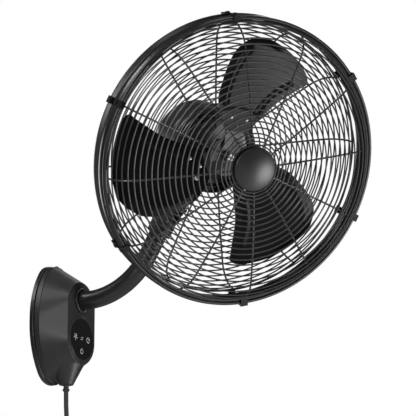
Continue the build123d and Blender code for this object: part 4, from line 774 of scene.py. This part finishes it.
def makeCap():
    top = cap["base"] + cap["rim"] + cap["dome"]
    sphere = (cap["radius"] ** 2 + cap["dome"] ** 2) / (2 * cap["dome"])
    edge = math.degrees(math.asin(cap["radius"] / sphere))
    crownEnd = 90 - edge + cap["crownShort"]
    crown = arcPoints((0, top - sphere), sphere, 90, crownEnd, cap["crownSteps"])
    corners = [crown[-1], (cap["radius"], cap["base"] + cap["rim"]), (cap["radius"], cap["base"]),
               (cap["stud"], cap["base"])]
    steps = cap["easeSteps"]
    side = eased(corners, cap["ease"], steps)[steps:3 * steps]  # the two middle corners
    stud = [(cap["stud"], cap["base"]), (cap["stud"], cap["studEnd"]), (0, cap["studEnd"])]
    profile = np.concatenate([crown[:-1], side, np.array(stud)])
    surface = turnedOnHead(profile, cap["segments"])
    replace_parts(makePiece("centreCap", [surface], "badge_black", "head", bend=60), "badge_cap")


makeCap()

# ---- printed marks on the control lens ----
marks = {
    "front": 0.0722,
    "height": 0.00012,
    "gap": 0.00002,
    "line": 0.0010,
    "thin": 0.8,  # of a line
    # x, height and size of each; the rest is in shares of the size
    "fan": (-0.0213, -0.0305, 0.0066),
    "waves": (0.0, -0.0305, 0.0046),
    "timer": (0.0213, -0.0305, 0.0050),
    "power": (0.0, -0.055, 0.0050),
    "vanes": 5,
    "vaneCurl": 0.75,
    "vaneRoot": 0.10,
    "waveApart": 0.40,
    "waveRise": 0.22,
    "waveReach": 0.8,
    "timerHands": (0.62, 0.42),
    "powerRing": (0.85, 125, 415),  # radius, start and end in degrees
    "powerStroke": (1.15, 0.6, 0.1),
}


# Printed line: a band of even width along a flat path, a little proud of the lens.
def printedLine(path, width, closed=False):
    path = np.asarray(path, float)
    way = np.roll(path, -1, 0) - np.roll(path, 1, 0) if closed else np.gradient(path, axis=0)
    way /= np.linalg.norm(way, axis=1)[:, None]
    side = np.stack([-way[:, 1], way[:, 0]], -1) * width / 2
    low, high = -marks["front"] + marks["gap"], -marks["front"] - marks["height"]
    ring = [(path - side, low), (path + side, low), (path + side, high), (path - side, high)]
    grid = np.stack([np.stack([p[:, 0], np.full(len(p), y), p[:, 1]], -1) for p, y in ring], 1)
    if not closed:
        ends = [np.repeat(grid[k].mean(0)[None, None], 4, 1) for k in (0, -1)]
        grid = np.concatenate([ends[0], grid, ends[1]], 0)
    return grid, closed, True


def makeMarks():
    line = marks["line"]
    thin = line * marks["thin"]
    surfaces = []
    x, z, size = marks["fan"]
    for k in range(marks["vanes"]):
        turn = np.linspace(0, marks["vaneCurl"], 9)
        reach = np.linspace(marks["vaneRoot"], 1.0, 9) * size
        angle = math.radians(90 + 360 / marks["vanes"] * k) + turn
        vane = np.stack([x + reach * np.cos(angle), z + reach * np.sin(angle)], -1)
        surfaces.append(printedLine(vane, line))
    x, z, size = marks["waves"]
    for row in (-1, 1):
        run = np.linspace(-1, 1, 17)
        wave = z + row * size * marks["waveApart"] + marks["waveRise"] * size * np.sin(run * np.pi)
        surfaces.append(printedLine(np.stack([x + run * size * marks["waveReach"], wave], -1), thin))
    x, z, size = marks["timer"]
    surfaces.append(printedLine(arcPoints((x, z), size, 0, 360, 49)[:-1], line, True))
    long, short = marks["timerHands"]
    surfaces.append(printedLine([(x, z + long * size), (x, z), (x + short * size, z)], thin))
    x, z, size = marks["power"]
    ring, start, end = marks["powerRing"]
    surfaces.append(printedLine(arcPoints((x, z), size * ring, start, end, 41), line))
    surfaces.append(printedLine([(x, z + share * size) for share in marks["powerStroke"]], line))
    makePiece("lensMarks", surfaces, "icon_white", "wall_side", bend=30)


makeMarks()
print("control marks printed")
